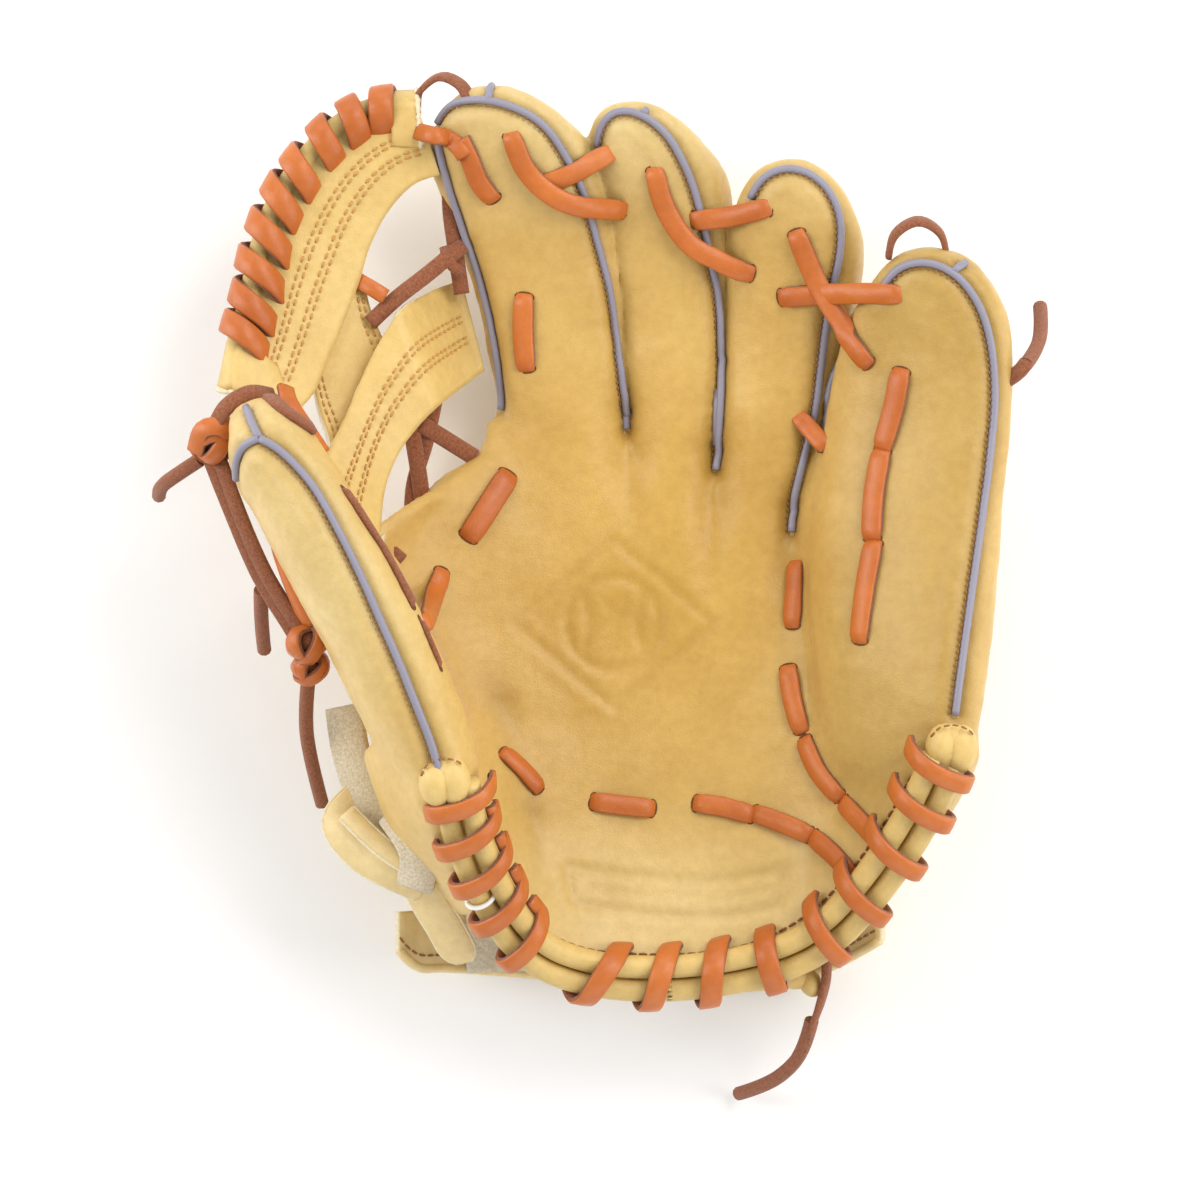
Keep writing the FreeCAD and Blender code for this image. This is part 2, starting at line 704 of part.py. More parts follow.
def drape(names, way, clear=0.9, width=LACE_WIDTH, thick=LACE_THICK, step=4.0):
    """Flat lace laid along plan points over the leather."""
    spots = []
    for a, b in zip(way, way[1:]):
        count = max(2, int(math.hypot(b[0] - a[0], b[1] - a[1]) / step))
        spots += [(a[0] + (b[0] - a[0]) * k / count, a[1] + (b[1] - a[1]) * k / count) for k in range(count)]
    spots.append(way[-1])
    points, normals = [], []
    for x, y in spots:
        z = top_z(names, x, y)
        if z is None:
            continue
        dx = [top_z(names, x + d, y) for d in (-2.5, 2.5)]
        dy = [top_z(names, x, y + d) for d in (-2.5, 2.5)]
        nx = 0.0 if None in dx else (dx[0] - dx[1]) / 5.0
        ny = 0.0 if None in dy else (dy[0] - dy[1]) / 5.0
        normal = Vector(max(-1.2, min(1.2, nx)), max(-1.2, min(1.2, ny)), 1)
        normal.normalize()
        points.append(Vector(x, y, z) + normal * clear)
        normals.append(normal)
    return strap(points, normals, width, thick)


def make_laces():
    """Laces that stay put, over the fingers, the palm and the web."""
    palm = [
        ((-34, 25), (-45, 8)),
        ((-34, -58), (-26, -67)),
        ((-7.5, -75), (8.5, -75)),
        ((24, -75), (41, -78)),
        ((51, -33), (54, -52)),
    ]
    holes = []
    for a, b in palm:
        ends = [(p[0], p[1], palm_height(p[0], p[1])) for p in (a, b)]
        shape, cuts = stitch(ends[0], ends[1])
        lift = max(0.0, palm_height((a[0] + b[0]) / 2, (a[1] + b[1]) / 2) - (ends[0][2] + ends[1][2]) / 2)
        shape.translate(Vector(0, 0, lift))
        add("palm_lace", shape)
        holes += cuts
    punch("palm_shell", holes)
    tops = ["index_front", "middle_front"]
    add("index_middle_lace", drape(tops, [(-31, 125), (-22, 112), (-18, 110)]))
    add("index_middle_lace", drape(tops, [(0, 105.5), (5, 104.5)]))
    tops = ["middle_front", "ring_front"]
    add("middle_ring_lace", drape(tops, [(11.5, 114), (16, 100), (19, 97)]))
    add("middle_ring_lace", drape(tops, [(43, 88), (47, 86)]))
    add("ring_pinky_lace", drape(["ring_front"], [(48, 78), (56, 77)]))
    add("ring_pinky_lace", drape(["ring_front"], [(53, 98), (59, 88)]))
    add("pinky_lace", drape(["pinky_front"], [(84, 79), (90, 79)]))
    add("pinky_palm_lace", drape(["pinky_front"], [(84, 54), (80, 30), (77, 2), (74, -22)]))
    add("index_palm_lace", drape(["index_front"], [(-28.5, 78), (-28.5, 57)]))
    add("pinky_heel_stitch", drape(["pinky_heel"], [(72, -72), (80, -84)]))
    add("thumb_web_lace", simple_strap([(-101, 57, 74), (-96, 46, 75), (-89, 36, 76)], (0.7, 0.5, 0.5)))
    add("index_web_lace", simple_strap([(-53, 110, 44), (-50, 96, 41.5), (-48, 82, 40)], (-0.3, 0, 1)))


def make_back():
    """Wrist strap, its pad and the pull at its end."""
    profile = [(64, 15), (52, 6.5), (25, 2.0), (-5, 1.6), (-30, 5), (-46, 11), (-60, 18)]
    rows = [[(x, y, z) for x, z in profile] for y in (-124, -116, -108, -100)]
    add("wrist_strap", sheet(rows, Vector(0, 0, SHELL)))
    profile = [(58, 14.5), (48, 8.5), (25, 5.2), (-5, 4.8), (-28, 8), (-40, 12.5)]
    rows = [[(x, y, z + 0.6) for x, z in profile] for y in (-124, -117, -110, -101)]
    add("wrist_pad", sheet(rows, Vector(0, 0, 4.0)))
    edge = [(x, -126.5, z + 1.2) for x, z in [(64, 15), (52, 6.5), (25, 2.0), (-5, 1.6), (-30, 5), (-46, 11), (-60, 18)]]
    add("wrist_strap_welting", rod(along(edge, 33), 1.2))
    thong = [(-67, -91, 31), (-74, -88, 35), (-81, -83, 36), (-87, -76, 33), (-85, -70, 27), (-78, -74, 22)]
    add("pull_thong", simple_strap(thong, (-0.4, -0.5, 0.8), 11.0, 2.0))
    add("pull_knot", lump((-70, -86, 46), 6, 7.5, 5))


def round_route(points, bend):
    """Round lace along straight runs with rounded corners, and its route's length."""
    points = [Vector(*p) for p in points]
    edges, at = [], points[0]
    length = 0.0
    for i in range(1, len(points) - 1):
        a, b, c = points[i - 1], points[i], points[i + 1]
        before, after = b - a, c - b
        turn = before.getAngle(after)
        shorter = min(before.Length, after.Length)
        radius = min(bend, 0.45 * shorter / math.tan(turn / 2))
        reach = radius * math.tan(turn / 2)
        before.normalize()
        after.normalize()
        start, end = b - before * reach, b + after * reach
        inward = after - before
        inward.normalize()
        middle = b + inward * (radius / math.cos(turn / 2))
        half = b - middle
        half.normalize()
        edges.append(Part.makeLine(at, start))
        edges.append(Part.Arc(start, middle + half * radius, end).toShape())
        length += (start - at).Length + radius * turn
        print("   bend radius %.1f mm at turn %.0f degrees" % (radius, math.degrees(turn)))
        at = end
    edges.append(Part.makeLine(at, points[-1]))
    length += (points[-1] - at).Length
    return Part.Wire(edges), length


TAIL_R = 2.2
TAILS = {
    # name: route from the knot to the loose end, in the drawing frame
    "heel_tail": [(58, -139, 41), (56, -149, 35), (50, -157, 26), (43, -162, 15), (37, -165, 4)],
    "pinky_tail": [(120.5, 58, 66), (124, 62, 59), (127, 69, 48), (127.5, 77, 36)],
    "thumb_upper_tail": [(-130, 22, 72), (-137, 21, 64), (-140, 20, 54), (-140.5, 18, 42)],
    "thumb_long_tail": [(-93, -35, 60), (-95, -46, 52), (-94, -58, 40), (-91, -70, 27)],
    "thumb_short_tail": [(-109, -14, 64), (-110, -20, 53), (-110, -29, 35)],
}


def make_tails():
    for name, points in TAILS.items():
        print(name)
        wire, length = round_route(points, 14.0)
        way = Vector(*points[1]) - Vector(*points[0])
        circle = Part.Wire([Part.makeCircle(TAIL_R, Vector(*points[0]), way)])
        tube = wire.makePipeShell([circle], True, True)
        section = math.pi * TAIL_R**2
        print("   %s length %.1f mm, volume over section %.1f mm" % (name, length, tube.Volume / section))
        add(name, tube)


def make_knots():
    add("thumb_upper_knot", lump((-124, 31, 73), 5.0, 6.5, 6))
    add("thumb_lower_knot", lump((-95, -24, 65), 6, 7, 6))
    add("heel_knot", lump((58, -134, 42), 4.5, 4.0, 4.5))
    line = [(-121, 21, 73), (-115, 6, 72), (-109.5, -8, 70), (-104, -17, 68)]
    add("thumb_back_lace", simple_strap(line, (-0.9, 0.1, 0.4)))
    add("pinky_knot", lump((117.5, 51, 70), 3.2, 4, 3.2))


def main():
    make_palm()
    for name, rows in (("index", INDEX), ("middle", MIDDLE), ("ring", RING)):
        make_stall(name, rows)
        make_back_seam(name, rows)
    make_thumb()
    make_pinky()
    make_back_seam("pinky", PINKY)
    make_back_seam("thumb", THUMB)
    make_web()
    make_laces()
    make_back()
    make_knots()
    make_tails()
    os.makedirs("parts", exist_ok=True)
    for name, shapes in sorted(parts.items()):
        whole = shapes[0] if len(shapes) == 1 else Part.Compound(shapes)
        if not whole.isValid():
            print("not valid", name)
        whole.exportStep("parts/%s.step" % name)
        b = whole.BoundBox
        row = (b.XMin, b.YMin, b.ZMin, b.XMax, b.YMax, b.ZMax)
        print("%-22s %8.0f mm3" % (name, whole.Volume), *("%7.1f" % v for v in row))


main()
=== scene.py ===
"""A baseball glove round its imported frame: one leather body, its weltings, laces, web, knots and strap."""
import json
import math

import bmesh
import bpy
import numpy as np
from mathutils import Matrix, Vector, noise
from mathutils.bvhtree import BVHTree
from mathutils.kdtree import KDTree

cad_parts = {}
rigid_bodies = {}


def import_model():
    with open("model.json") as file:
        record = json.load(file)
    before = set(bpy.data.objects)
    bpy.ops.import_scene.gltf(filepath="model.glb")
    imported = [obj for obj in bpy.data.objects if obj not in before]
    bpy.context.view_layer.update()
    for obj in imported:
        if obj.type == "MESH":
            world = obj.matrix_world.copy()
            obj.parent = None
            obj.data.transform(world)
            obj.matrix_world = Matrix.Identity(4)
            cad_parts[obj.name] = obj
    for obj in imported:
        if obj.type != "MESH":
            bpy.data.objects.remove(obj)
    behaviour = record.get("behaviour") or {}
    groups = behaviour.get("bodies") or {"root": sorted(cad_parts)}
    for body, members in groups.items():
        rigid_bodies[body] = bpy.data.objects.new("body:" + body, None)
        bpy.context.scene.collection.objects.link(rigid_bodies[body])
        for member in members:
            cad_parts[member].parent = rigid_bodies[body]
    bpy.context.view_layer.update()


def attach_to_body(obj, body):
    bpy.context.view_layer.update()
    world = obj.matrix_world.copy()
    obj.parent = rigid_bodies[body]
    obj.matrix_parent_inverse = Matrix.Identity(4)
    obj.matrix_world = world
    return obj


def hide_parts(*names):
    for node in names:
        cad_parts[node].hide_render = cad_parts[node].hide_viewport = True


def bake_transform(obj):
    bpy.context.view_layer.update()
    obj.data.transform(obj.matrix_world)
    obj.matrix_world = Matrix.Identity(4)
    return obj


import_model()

# All shapes are drawn in millimetres about the middle of the palm, then moved by PLACE and scaled to metres.
PLACE = Vector((4.2, -4.4, 0.0))
UP = Vector((0, 0, 1))
CAMERA = Vector((-6, -12, 1497))
SIGHT_PLANE = 52  # height at which a plan point and the camera's line of sight to it meet
SPLIT_X = 15  # the leather is cut in two here, between the folds
VOXEL = 0.0013  # size of the leather's mesh, in metres
STALL_SIDES = 44  # points round a finger stall
WELT_R = 1.2  # radius of the welting in the finger seams
ROLL_R = 3.5  # radius of each rolled binding round the heel


def world(p):
    return (Vector(p) + PLACE) * 0.001


# ---- camera, light, floor
scene = bpy.context.scene
cam_data = bpy.data.cameras.new("camera")
cam_data.sensor_width = 36
cam_data.lens = 144.5
cam = bpy.data.objects.new("camera", cam_data)
scene.collection.objects.link(cam)
cam.location = world(CAMERA)
cam.rotation_euler = (0, 0, 0)
scene.camera = cam
scene.view_settings.view_transform = "Standard"


def area_light(name, place, aim, size, power, color=(1, 1, 1)):
    data = bpy.data.lights.new(name, "AREA")
    data.shape = "RECTANGLE"
    data.size, data.size_y = size
    data.energy = power
    data.color = color
    ob = bpy.data.objects.new(name, data)
    scene.collection.objects.link(ob)
    ob.location = place
    ob.rotation_euler = (Vector(aim) - Vector(place)).to_track_quat("-Z", "Y").to_euler()


area_light("key", (0.75, 0.75, 1.25), (0, 0, 0.05), (0.8, 0.8), 12, (1.0, 0.98, 0.95))
area_light("left", (-1.0, 0.25, 0.55), (0, 0, 0.06), (0.5, 1.3), 9.5, (0.99, 0.99, 1.0))
area_light("right", (1.05, -0.1, 0.5), (0, 0, 0.06), (0.5, 1.3), 6.5, (1.0, 0.99, 0.97))
area_light("top", (-0.1, 1.15, 0.6), (0, 0, 0.06), (1.3, 0.5), 4.5, (1.0, 1.0, 0.99))
area_light("low", (0.1, -1.3, 0.6), (0, 0, 0.05), (1.4, 0.8), 5)

world_data = bpy.data.worlds.new("studio")
scene.world = world_data
world_data.use_nodes = True
background = world_data.node_tree.nodes["Background"]
background.inputs["Color"].default_value = (1, 1, 1, 1)
background.inputs["Strength"].default_value = 0.5


def material(name, color, rough=0.5, sheen=0.0, coat=0.0, specular=0.5):
    mat = bpy.data.materials.new(name)
    mat.use_nodes = True
    shader = mat.node_tree.nodes["Principled BSDF"]
    values = {"Base Color": (*color, 1), "Roughness": rough, "Sheen Weight": sheen}
    values |= {"Coat Weight": coat, "Specular IOR Level": specular}
    for key, value in values.items():
        shader.inputs[key].default_value = value
    return mat, mat.node_tree, shader


def noise_node(tree, scale, detail=4.0, rough=0.5, kind="ShaderNodeTexNoise"):
    n = tree.nodes.new(kind)
    n.inputs["Scale"].default_value = scale
    if kind == "ShaderNodeTexNoise":
        n.inputs["Detail"].default_value = detail
        n.inputs["Roughness"].default_value = rough
    coords = tree.nodes.new("ShaderNodeNewGeometry")
    tree.links.new(coords.outputs["Position"], n.inputs["Vector"])
    return n


def srgb(*levels):
    """Linear colour from levels of 0 to 255."""
    shares = [level / 255 for level in levels]
    return tuple(s / 12.92 if s < 0.04045 else ((s + 0.055) / 1.055) ** 2.4 for s in shares)


def ramp(tree, source, low, low_color, high, high_color):
    """The source's noise turned into a colour between two places."""
    n = tree.nodes.new("ShaderNodeValToRGB")
    for stop, place, color in zip(n.color_ramp.elements, (low, high), (low_color, high_color)):
        stop.position = place
        stop.color = (*color, 1)
    tree.links.new(source.outputs["Fac"], n.inputs["Fac"])
    return n.outputs["Color"]


def multiply(tree, factor, a, b):
    n = tree.nodes.new("ShaderNodeMix")
    n.data_type = "RGBA"
    n.blend_type = "MULTIPLY"
    n.inputs["Factor"].default_value = factor
    tree.links.new(a, n.inputs["A"])
    tree.links.new(b, n.inputs["B"])
    return n.outputs["Result"]


def bump_by(tree, shader, height, strength, distance):
    n = tree.nodes.new("ShaderNodeBump")
    n.inputs["Strength"].default_value = strength
    n.inputs["Distance"].default_value = distance
    tree.links.new(height, n.inputs["Height"])
    tree.links.new(n.outputs["Normal"], shader.inputs["Normal"])


def leather(name, pale, deep, grain=520.0, bump=0.25, rough=0.46, shade=False):
    """Full-grain leather: two tones mixed by cloudy noise, with a fine pebble grain."""
    mat, tree, shader = material(name, pale, rough, specular=0.42)
    fine = noise_node(tree, 330.0, 3.0, 0.6)
    cloudy = ramp(tree, noise_node(tree, 26.0, 5.0, 0.55), 0.3, deep, 0.72, pale)
    specks = ramp(tree, fine, 0.34, (0.62, 0.56, 0.46), 0.66, (1, 1, 1))
    out = multiply(tree, 0.22, cloudy, specks)
    # with shade, times the body's per-vertex tone: its own uneven colour with painted shade and painted
    # highlights
    if shade:
        attr = tree.nodes.new("ShaderNodeAttribute")
        attr.attribute_name = "tone_and_painted_light"
        out = multiply(tree, 1.0, out, attr.outputs["Color"])
    tree.links.new(out, shader.inputs["Base Color"])
    cells = noise_node(tree, grain * 2.4, kind="ShaderNodeTexVoronoi")
    cells.feature = "DISTANCE_TO_EDGE"
    rise = tree.nodes.new("ShaderNodeMath")
    rise.operation = "MULTIPLY_ADD"
    rise.inputs[1].default_value = 0.6
    tree.links.new(cells.outputs["Distance"], rise.inputs[0])
    tree.links.new(fine.outputs["Fac"], rise.inputs[2])
    bump_by(tree, shader, rise.outputs[0], bump, 0.0006)
    return mat


def fuzzy(name, pale, deep, scale, bump, rough=0.9, sheen=0.4):
    """Suede, felt or fleece."""
    mat, tree, shader = material(name, pale, rough, sheen, specular=0.2)
    shader.inputs["Sheen Roughness"].default_value = 0.6
    fine = noise_node(tree, scale, 6.0, 0.75)
    tree.links.new(ramp(tree, fine, 0.36, deep, 0.62, pale), shader.inputs["Base Color"])
    bump_by(tree, shader, fine.outputs["Fac"], bump, 0.0008)
    return mat


PALM = leather("palm_leather", srgb(213, 178, 106), srgb(200, 162, 88), 520, 0.28, 0.40, True)
LINING = leather("lining_leather", srgb(214, 178, 120), srgb(196, 158, 100), 380, 0.3, 0.6)
WEBL = leather("web_leather", srgb(224, 193, 122), srgb(212, 179, 106), 520, 0.3, 0.44)
# A paler copy of the web leather: the pull thong's pale leather, and on the strap painted light that lifts it
# out of shade.
PALE_AND_LIT_LEATHER = leather("pale_leather_and_painted_light", srgb(238, 214, 158), srgb(226, 200, 140), 520, 0.3, 0.5)
RAW = fuzzy("raw_edge", srgb(240, 226, 190), srgb(222, 202, 158), 900, 0.5)
LACE = leather("lace_grain", srgb(208, 119, 54), srgb(184, 97, 40), 800, 0.22, 0.34)
FLESH = fuzzy("lace_flesh", srgb(158, 98, 66), srgb(120, 68, 44), 1300, 0.45, 0.85, 0.15)
WELT = material("welting", srgb(142, 138, 152), 0.42, specular=0.45)[0]
SUEDE = fuzzy("suede", srgb(240, 226, 194), srgb(200, 178, 136), 1300, 0.8)
FLEECE = fuzzy("fleece", srgb(236, 228, 206), srgb(206, 194, 164), 700, 0.9)
THREAD = fuzzy("thread", srgb(212, 162, 88), srgb(188, 138, 66), 2500, 0.3, 0.6, 0.1)
THREAD_DARK = material("dark_thread", srgb(150, 100, 52), 0.7)[0]
# painted shade: the dark inside of a lace hole
HOLE_SHADE = material("hole_shade", srgb(104, 66, 36), 0.9)[0]
WHITE = material("white_tie", srgb(244, 242, 236), 0.5)[0]
FLOOR = material("floor", (0.93, 0.93, 0.93), 0.65, specular=0.2)[0]

bpy.ops.mesh.primitive_plane_add(size=8)
floor = bpy.context.object
floor.name = "floor"
floor.location = (0, 0, -0.0004)
floor.data.materials.append(FLOOR)


# ---- curves
def blend_row(rows, s):
    last = len(rows) - 1
    s = max(0.0, min(float(last), s))
    i = min(int(s), last - 1)
    u = s - i
    p0, p1, p2, p3 = (rows[max(0, min(last, i + k))] for k in (-1, 0, 1, 2))
    return [
        0.5 * (2 * b + (c - a) * u + (2 * a - 5 * b + 4 * c - d) * u * u + (3 * b - a - 3 * c + d) * u**3)
        for a, b, c, d in zip(p0, p1, p2, p3)
    ]


def running(path):
    """The length along a path up to each of its points."""
    run = [0.0]
    for a, b in zip(path, path[1:]):
        run.append(run[-1] + (b - a).length)
    return run


def heading(path, i):
    return path[min(len(path) - 1, i + 1)] - path[max(0, i - 1)]


def smooth_path(points, step=1.5):
    """Evenly spaced points on a Catmull-Rom curve."""
    rows = [tuple(p) for p in points]
    fine = 24 * len(rows)
    fine = [Vector(blend_row(rows, (len(rows) - 1) * k / fine)) for k in range(fine + 1)]
    lengths = running(fine)
    count = max(2, int(lengths[-1] / step))
    out, j = [], 0
    for k in range(count + 1):
        want = lengths[-1] * k / count
        while j < len(fine) - 2 and lengths[j + 1] < want:
            j += 1
        span = max(1e-9, lengths[j + 1] - lengths[j])
        out.append(fine[j].lerp(fine[j + 1], min(1.0, (want - lengths[j]) / span)))
    return out


class Station:
    """One cross-section of a finger stall, a rounded oval."""

    def __init__(self, row, way, size):
        *middle, self.wide, self.thick, tilt = row
        self.middle, self.size = Vector(middle), size
        self.right = Vector((way.y, -way.x, 0))
        self.tilt = math.radians(tilt)

    def point(self, turn, power=2.35):
        c, s = math.cos(math.radians(turn)), math.sin(math.radians(turn))
        r = (abs(c) ** power + abs(s) ** power) ** (-1.0 / power)
        w = self.wide * self.size * c * r
        n = self.thick * (0.35 + 0.65 * self.size) * min(1.0, self.size * 3) * s * r
        across = w * math.cos(self.tilt) - n * math.sin(self.tilt)
        up = w * math.sin(self.tilt) + n * math.cos(self.tilt)
        return self.middle + self.right * across + UP * up


def stations(rows, step=3.0, tip_share=0.95, upright=0.0):
    last = len(rows) - 1
    places = [last * k / 240.0 for k in range(241)]
    plan = [blend_row(rows, s) for s in places]
    run = [0.0]
    for a, b in zip(plan, plan[1:]):
        run.append(run[-1] + math.hypot(b[0] - a[0], b[1] - a[1]))
    total = run[-1]
    tip_length = tip_share * rows[-1][3] if abs(rows[-1][5]) < 60 else 1.5 * rows[-1][4]
    wanted = list(np.linspace(0, total - tip_length, max(3, int((total - tip_length) / step))))
    for k in range(1, 13):
        a = math.pi / 2 * k / 12.5
        wanted.append(total - tip_length + tip_length * math.sin(a))
    out = []
    for w in wanted:
        s = float(np.interp(w, run, places))
        row = blend_row(rows, s)
        ahead, behind = blend_row(rows, s + 0.06), blend_row(rows, s - 0.06)
        way = Vector((ahead[0] - behind[0], ahead[1] - behind[1], 0)).normalized()
        share = max(0.0, (w - (total - tip_length)) / tip_length)
        turn = upright * max(0.0, min(1.0, 1.6 * (w / total) - 0.6))
        way = way.lerp(Vector((0, 1, 0)), turn).normalized()
        out.append(Station(row, way, math.sqrt(max(0.0025, 1 - share**2))))
    return out


def ring_faces(rings, n):
    """Quads round a tube of rings of n points, and its two end faces."""
    faces = [
        (i * n + k, i * n + (k + 1) % n, (i + 1) * n + (k + 1) % n, (i + 1) * n + k)
        for i in range(rings - 1)
        for k in range(n)
    ]
    return faces + [tuple(reversed(range(n))), tuple(range((rings - 1) * n, rings * n))]


def thick_sheet(grid, thick):
    """Closed solid from a grid of points (rows x columns), thickness going down its normals."""
    g = np.array([[tuple(p) for p in row] for row in grid], float)
    nrm = np.cross(np.gradient(g, axis=1), np.gradient(g, axis=0))
    nrm /= np.maximum(1e-9, np.linalg.norm(nrm, axis=2))[..., None]
    low = g - nrm * thick
    r, c = g.shape[:2]
    verts = [Vector(p) for side in (g, low) for p in side.reshape(-1, 3)]
    faces = []
    off = r * c
    for i in range(r - 1):
        for j in range(c - 1):
            a, b, d, e = i * c + j, i * c + j + 1, (i + 1) * c + j + 1, (i + 1) * c + j
            faces += [(a, b, d, e), (off + e, off + d, off + b, off + a)]
    edge = [(0, j) for j in range(c)] + [(i, c - 1) for i in range(1, r)]
    edge += [(r - 1, j) for j in range(c - 2, -1, -1)] + [(i, 0) for i in range(r - 2, 0, -1)]
    ids = [i * c + j for i, j in edge]
    faces += [(b, a, off + a, off + b) for a, b in zip(ids, ids[1:] + ids[:1])]
    return verts, faces


def make(name, verts, faces, mats, ids=None):
    mesh = bpy.data.meshes.new(name)
    mesh.from_pydata([world(v) for v in verts], [], faces)
    ob = bpy.data.objects.new(name, mesh)
    scene.collection.objects.link(ob)
    for m in mats:
        mesh.materials.append(m)
    if ids is not None:
        mesh.polygons.foreach_set("material_index", ids)
    mesh.polygons.foreach_set("use_smooth", [True] * len(mesh.polygons))
    mesh.update()
    return ob


# ---- the leather body
# Finger stalls, base to tip: x, y, z, half width, half thickness, tilt of the right side upwards
INDEX = [
    (-13, 4, 17, 15, 10, 3),
    (-16.5, 31, 18.5, 18.5, 12.5, 5),
    (-17, 48, 20, 19.5, 13.5, 7),
    (-20.5, 78, 25, 21.5, 14, 11),
    (-27, 105, 34, 23.5, 14, 14),
    (-34, 124, 43, 23.5, 13.5, 16),
    (-40.5, 141.6, 51, 21.8, 12.5, 16),
]
MIDDLE = [
    (15, 4, 16, 13, 10, 3),
    (16.5, 31, 18, 14.5, 12.5, 5),
    (16.5, 48, 19.5, 15, 13.5, 7),
    (16.5, 78, 24, 18, 14, 11),
    (13.5, 106, 32, 20.6, 14, 14),
    (9, 120.5, 39, 20.6, 13.5, 16),
    (1.5, 137, 47, 20.4, 12.5, 16),
]
RING = [
    (42, 0, 20, 12, 10, 6),
    (45, 28, 23, 14, 12.5, 10),
    (47, 45, 25.5, 16.5, 13.5, 13),
    (50.5, 66, 29, 19, 14, 16),
    (53.8, 90, 38, 20.6, 14, 19),
    (52.4, 104, 44.5, 19.6, 13.5, 21),
    (50, 119.4, 51.5, 18.6, 12.5, 21),
]
PINKY = [
    (83, -64, 59, 24, 8, 38),
    (84, -45, 57.5, 27, 12, 36),
    (84, -22, 54.5, 29.5, 14, 33),
    (85, 3, 51.5, 31, 14.5, 31),
    (88, 28, 49.5, 30.5, 14.5, 29),
    (90.5, 48, 50.5, 29, 14, 28),
    (92, 65, 55, 26, 13.5, 26),
    (92, 80, 61, 23, 13, 25),
    (90, 92, 67.5, 21.6, 12.5, 25),
]
THUMB = [
    (-51.5, -71, 76, 21, 11.5, -98),
    (-56, -57, 78, 23.5, 13.5, -99),
    (-62.5, -41, 81, 24, 14.4, -100),
    (-74.5, -18, 84, 24, 14.4, -100),
    (-86.5, 4, 86, 23.5, 14.4, -99),
    (-95.5, 20, 85.5, 21.5, 13.8, -97),
    (-103, 34, 84, 19.5, 12.3, -94),
    (-107.5, 46.5, 82, 17, 10, -92),
]
FINGERS = {"index": INDEX, "middle": MIDDLE, "ring": RING, "pinky": PINKY, "thumb": THUMB}
TIPS = {
    "index": (1.0, 0.75), "middle": (1.45, 0.75), "ring": (1.3, 0.6), "pinky": (1.2, 0.4), "thumb": (1.0, 0.0)
}
CUTS = {name: stations(rows, 3.0, *TIPS[name]) for name, rows in FINGERS.items()}

THUMB_FOLD = (Vector((-18, -122, 46)), Vector((-104, 100, 58)))
PINKY_FOLD = (Vector((56, -122, 46)), Vector((70, 90, 42)))

# Heights of the palm's face: for each y, (x, z) from left to right
PALM_FACE = [
    (-127, [(0, 51), (6, 50), (13, 49.5), (20, 49), (27, 49.5), (34, 50), (40, 51)]),
    (-121, [(-20, 55), (-12, 51), (0, 48.5), (16, 47.5), (34, 48.5), (46, 50.5), (53, 53)]),
    (-111, [(-30, 64), (-21, 53), (-6, 46), (17, 44), (37, 45), (53, 49.5), (64, 58)]),
    (-98, [(-39, 75), (-29, 55), (-14, 43.5), (12, 41), (36, 42.5), (56, 47.5), (75, 65)]),
    (-82, [(-48, 86), (-38, 60), (-24, 43), (5, 37.5), (32, 39), (58, 46), (86, 73)]),
    (-66, [(-56, 95), (-46, 65), (-31, 44), (2, 35.5), (30, 36.5), (60, 45), (96, 80)]),
    (-50, [(-61, 64), (-50, 50), (-36, 41), (-2, 34), (28, 34.5), (57, 42), (92, 64)]),
    (-25, [(-73, 60), (-60, 48), (-44, 39.5), (-8, 33), (24, 32.5), (54, 38), (84, 53)]),
    (0, [(-77, 58), (-63, 46), (-47, 39), (-12, 33), (20, 32), (50, 35), (82, 46)]),
    (18, [(-60, 45), (-50, 40), (-36, 35), (-8, 31), (20, 30.5), (46, 33), (82, 43)]),
    (30, [(-46, 37), (-40, 33), (-30, 30), (-4, 28), (20, 27.5), (44, 29), (80, 40)]),
    (42, [(-38, 26), (-34, 24), (-28, 22), (-4, 21), (20, 21), (44, 23), (78, 34)]),
]


# Back of the hand: (x, z) from the thumb side round underneath to the little finger side
BACK = [
    (-64, [
        (-66, 72), (-68, 52), (-60, 30), (-42, 10), (-10, 2),
        (22, 0.4), (50, 4), (76, 18), (97, 42), (108, 62),
    ]),
    (-40, [
        (-76, 70), (-74, 52), (-63, 31), (-43, 11), (-10, 1.4),
        (22, 0.0), (50, 3), (74, 15), (96, 38), (108, 58),
    ]),
    (-15, [
        (-86, 68), (-80, 52), (-66, 33), (-44, 12), (-10, 1.2),
        (22, 0.0), (50, 2.6), (72, 13), (94, 34), (107, 52),
    ]),
    (8, [
        (-78, 60), (-68, 48), (-56, 33), (-41, 13), (-10, 1.6),
        (20, 0.2), (48, 3), (70, 13), (92, 31), (106, 46),
    ]),
    (30, [
        (-46, 34), (-42, 27), (-38, 19), (-30, 11), (-12, 4),
        (18, 3.4), (46, 8), (68, 18), (90, 32), (104, 42),
    ]),
    (44, [
        (-42, 26), (-39, 21), (-35, 16), (-29, 11), (-14, 6),
        (18, 5), (46, 10), (68, 22), (88, 33), (100, 40),
    ]),
]
THUMB_WALL = [
    (-108, [(-36, 66), (-46, 58), (-48, 42), (-44, 26), (-36, 14)]),
    (-92, [(-46, 78), (-58, 66), (-60, 46), (-54, 28), (-42, 13)]),
    (-78, [(-54, 88), (-66, 74), (-69, 52), (-60, 30), (-43, 11)]),
    (-56, [(-66, 84), (-77, 70), (-76, 51), (-64, 31), (-43, 10)]),
]
PINKY_WALL = [
    (-106, [(68, 56), (73, 50), (74, 38), (70, 22), (58, 10)]),
    (-92, [(79, 65), (86, 58), (87, 42), (80, 24), (62, 9)]),
    (-76, [(91, 73), (98, 64), (98, 44), (88, 26), (68, 10)]),
    (-56, [(101, 80), (108, 66), (107, 46), (95, 34), (72, 13)]),
]


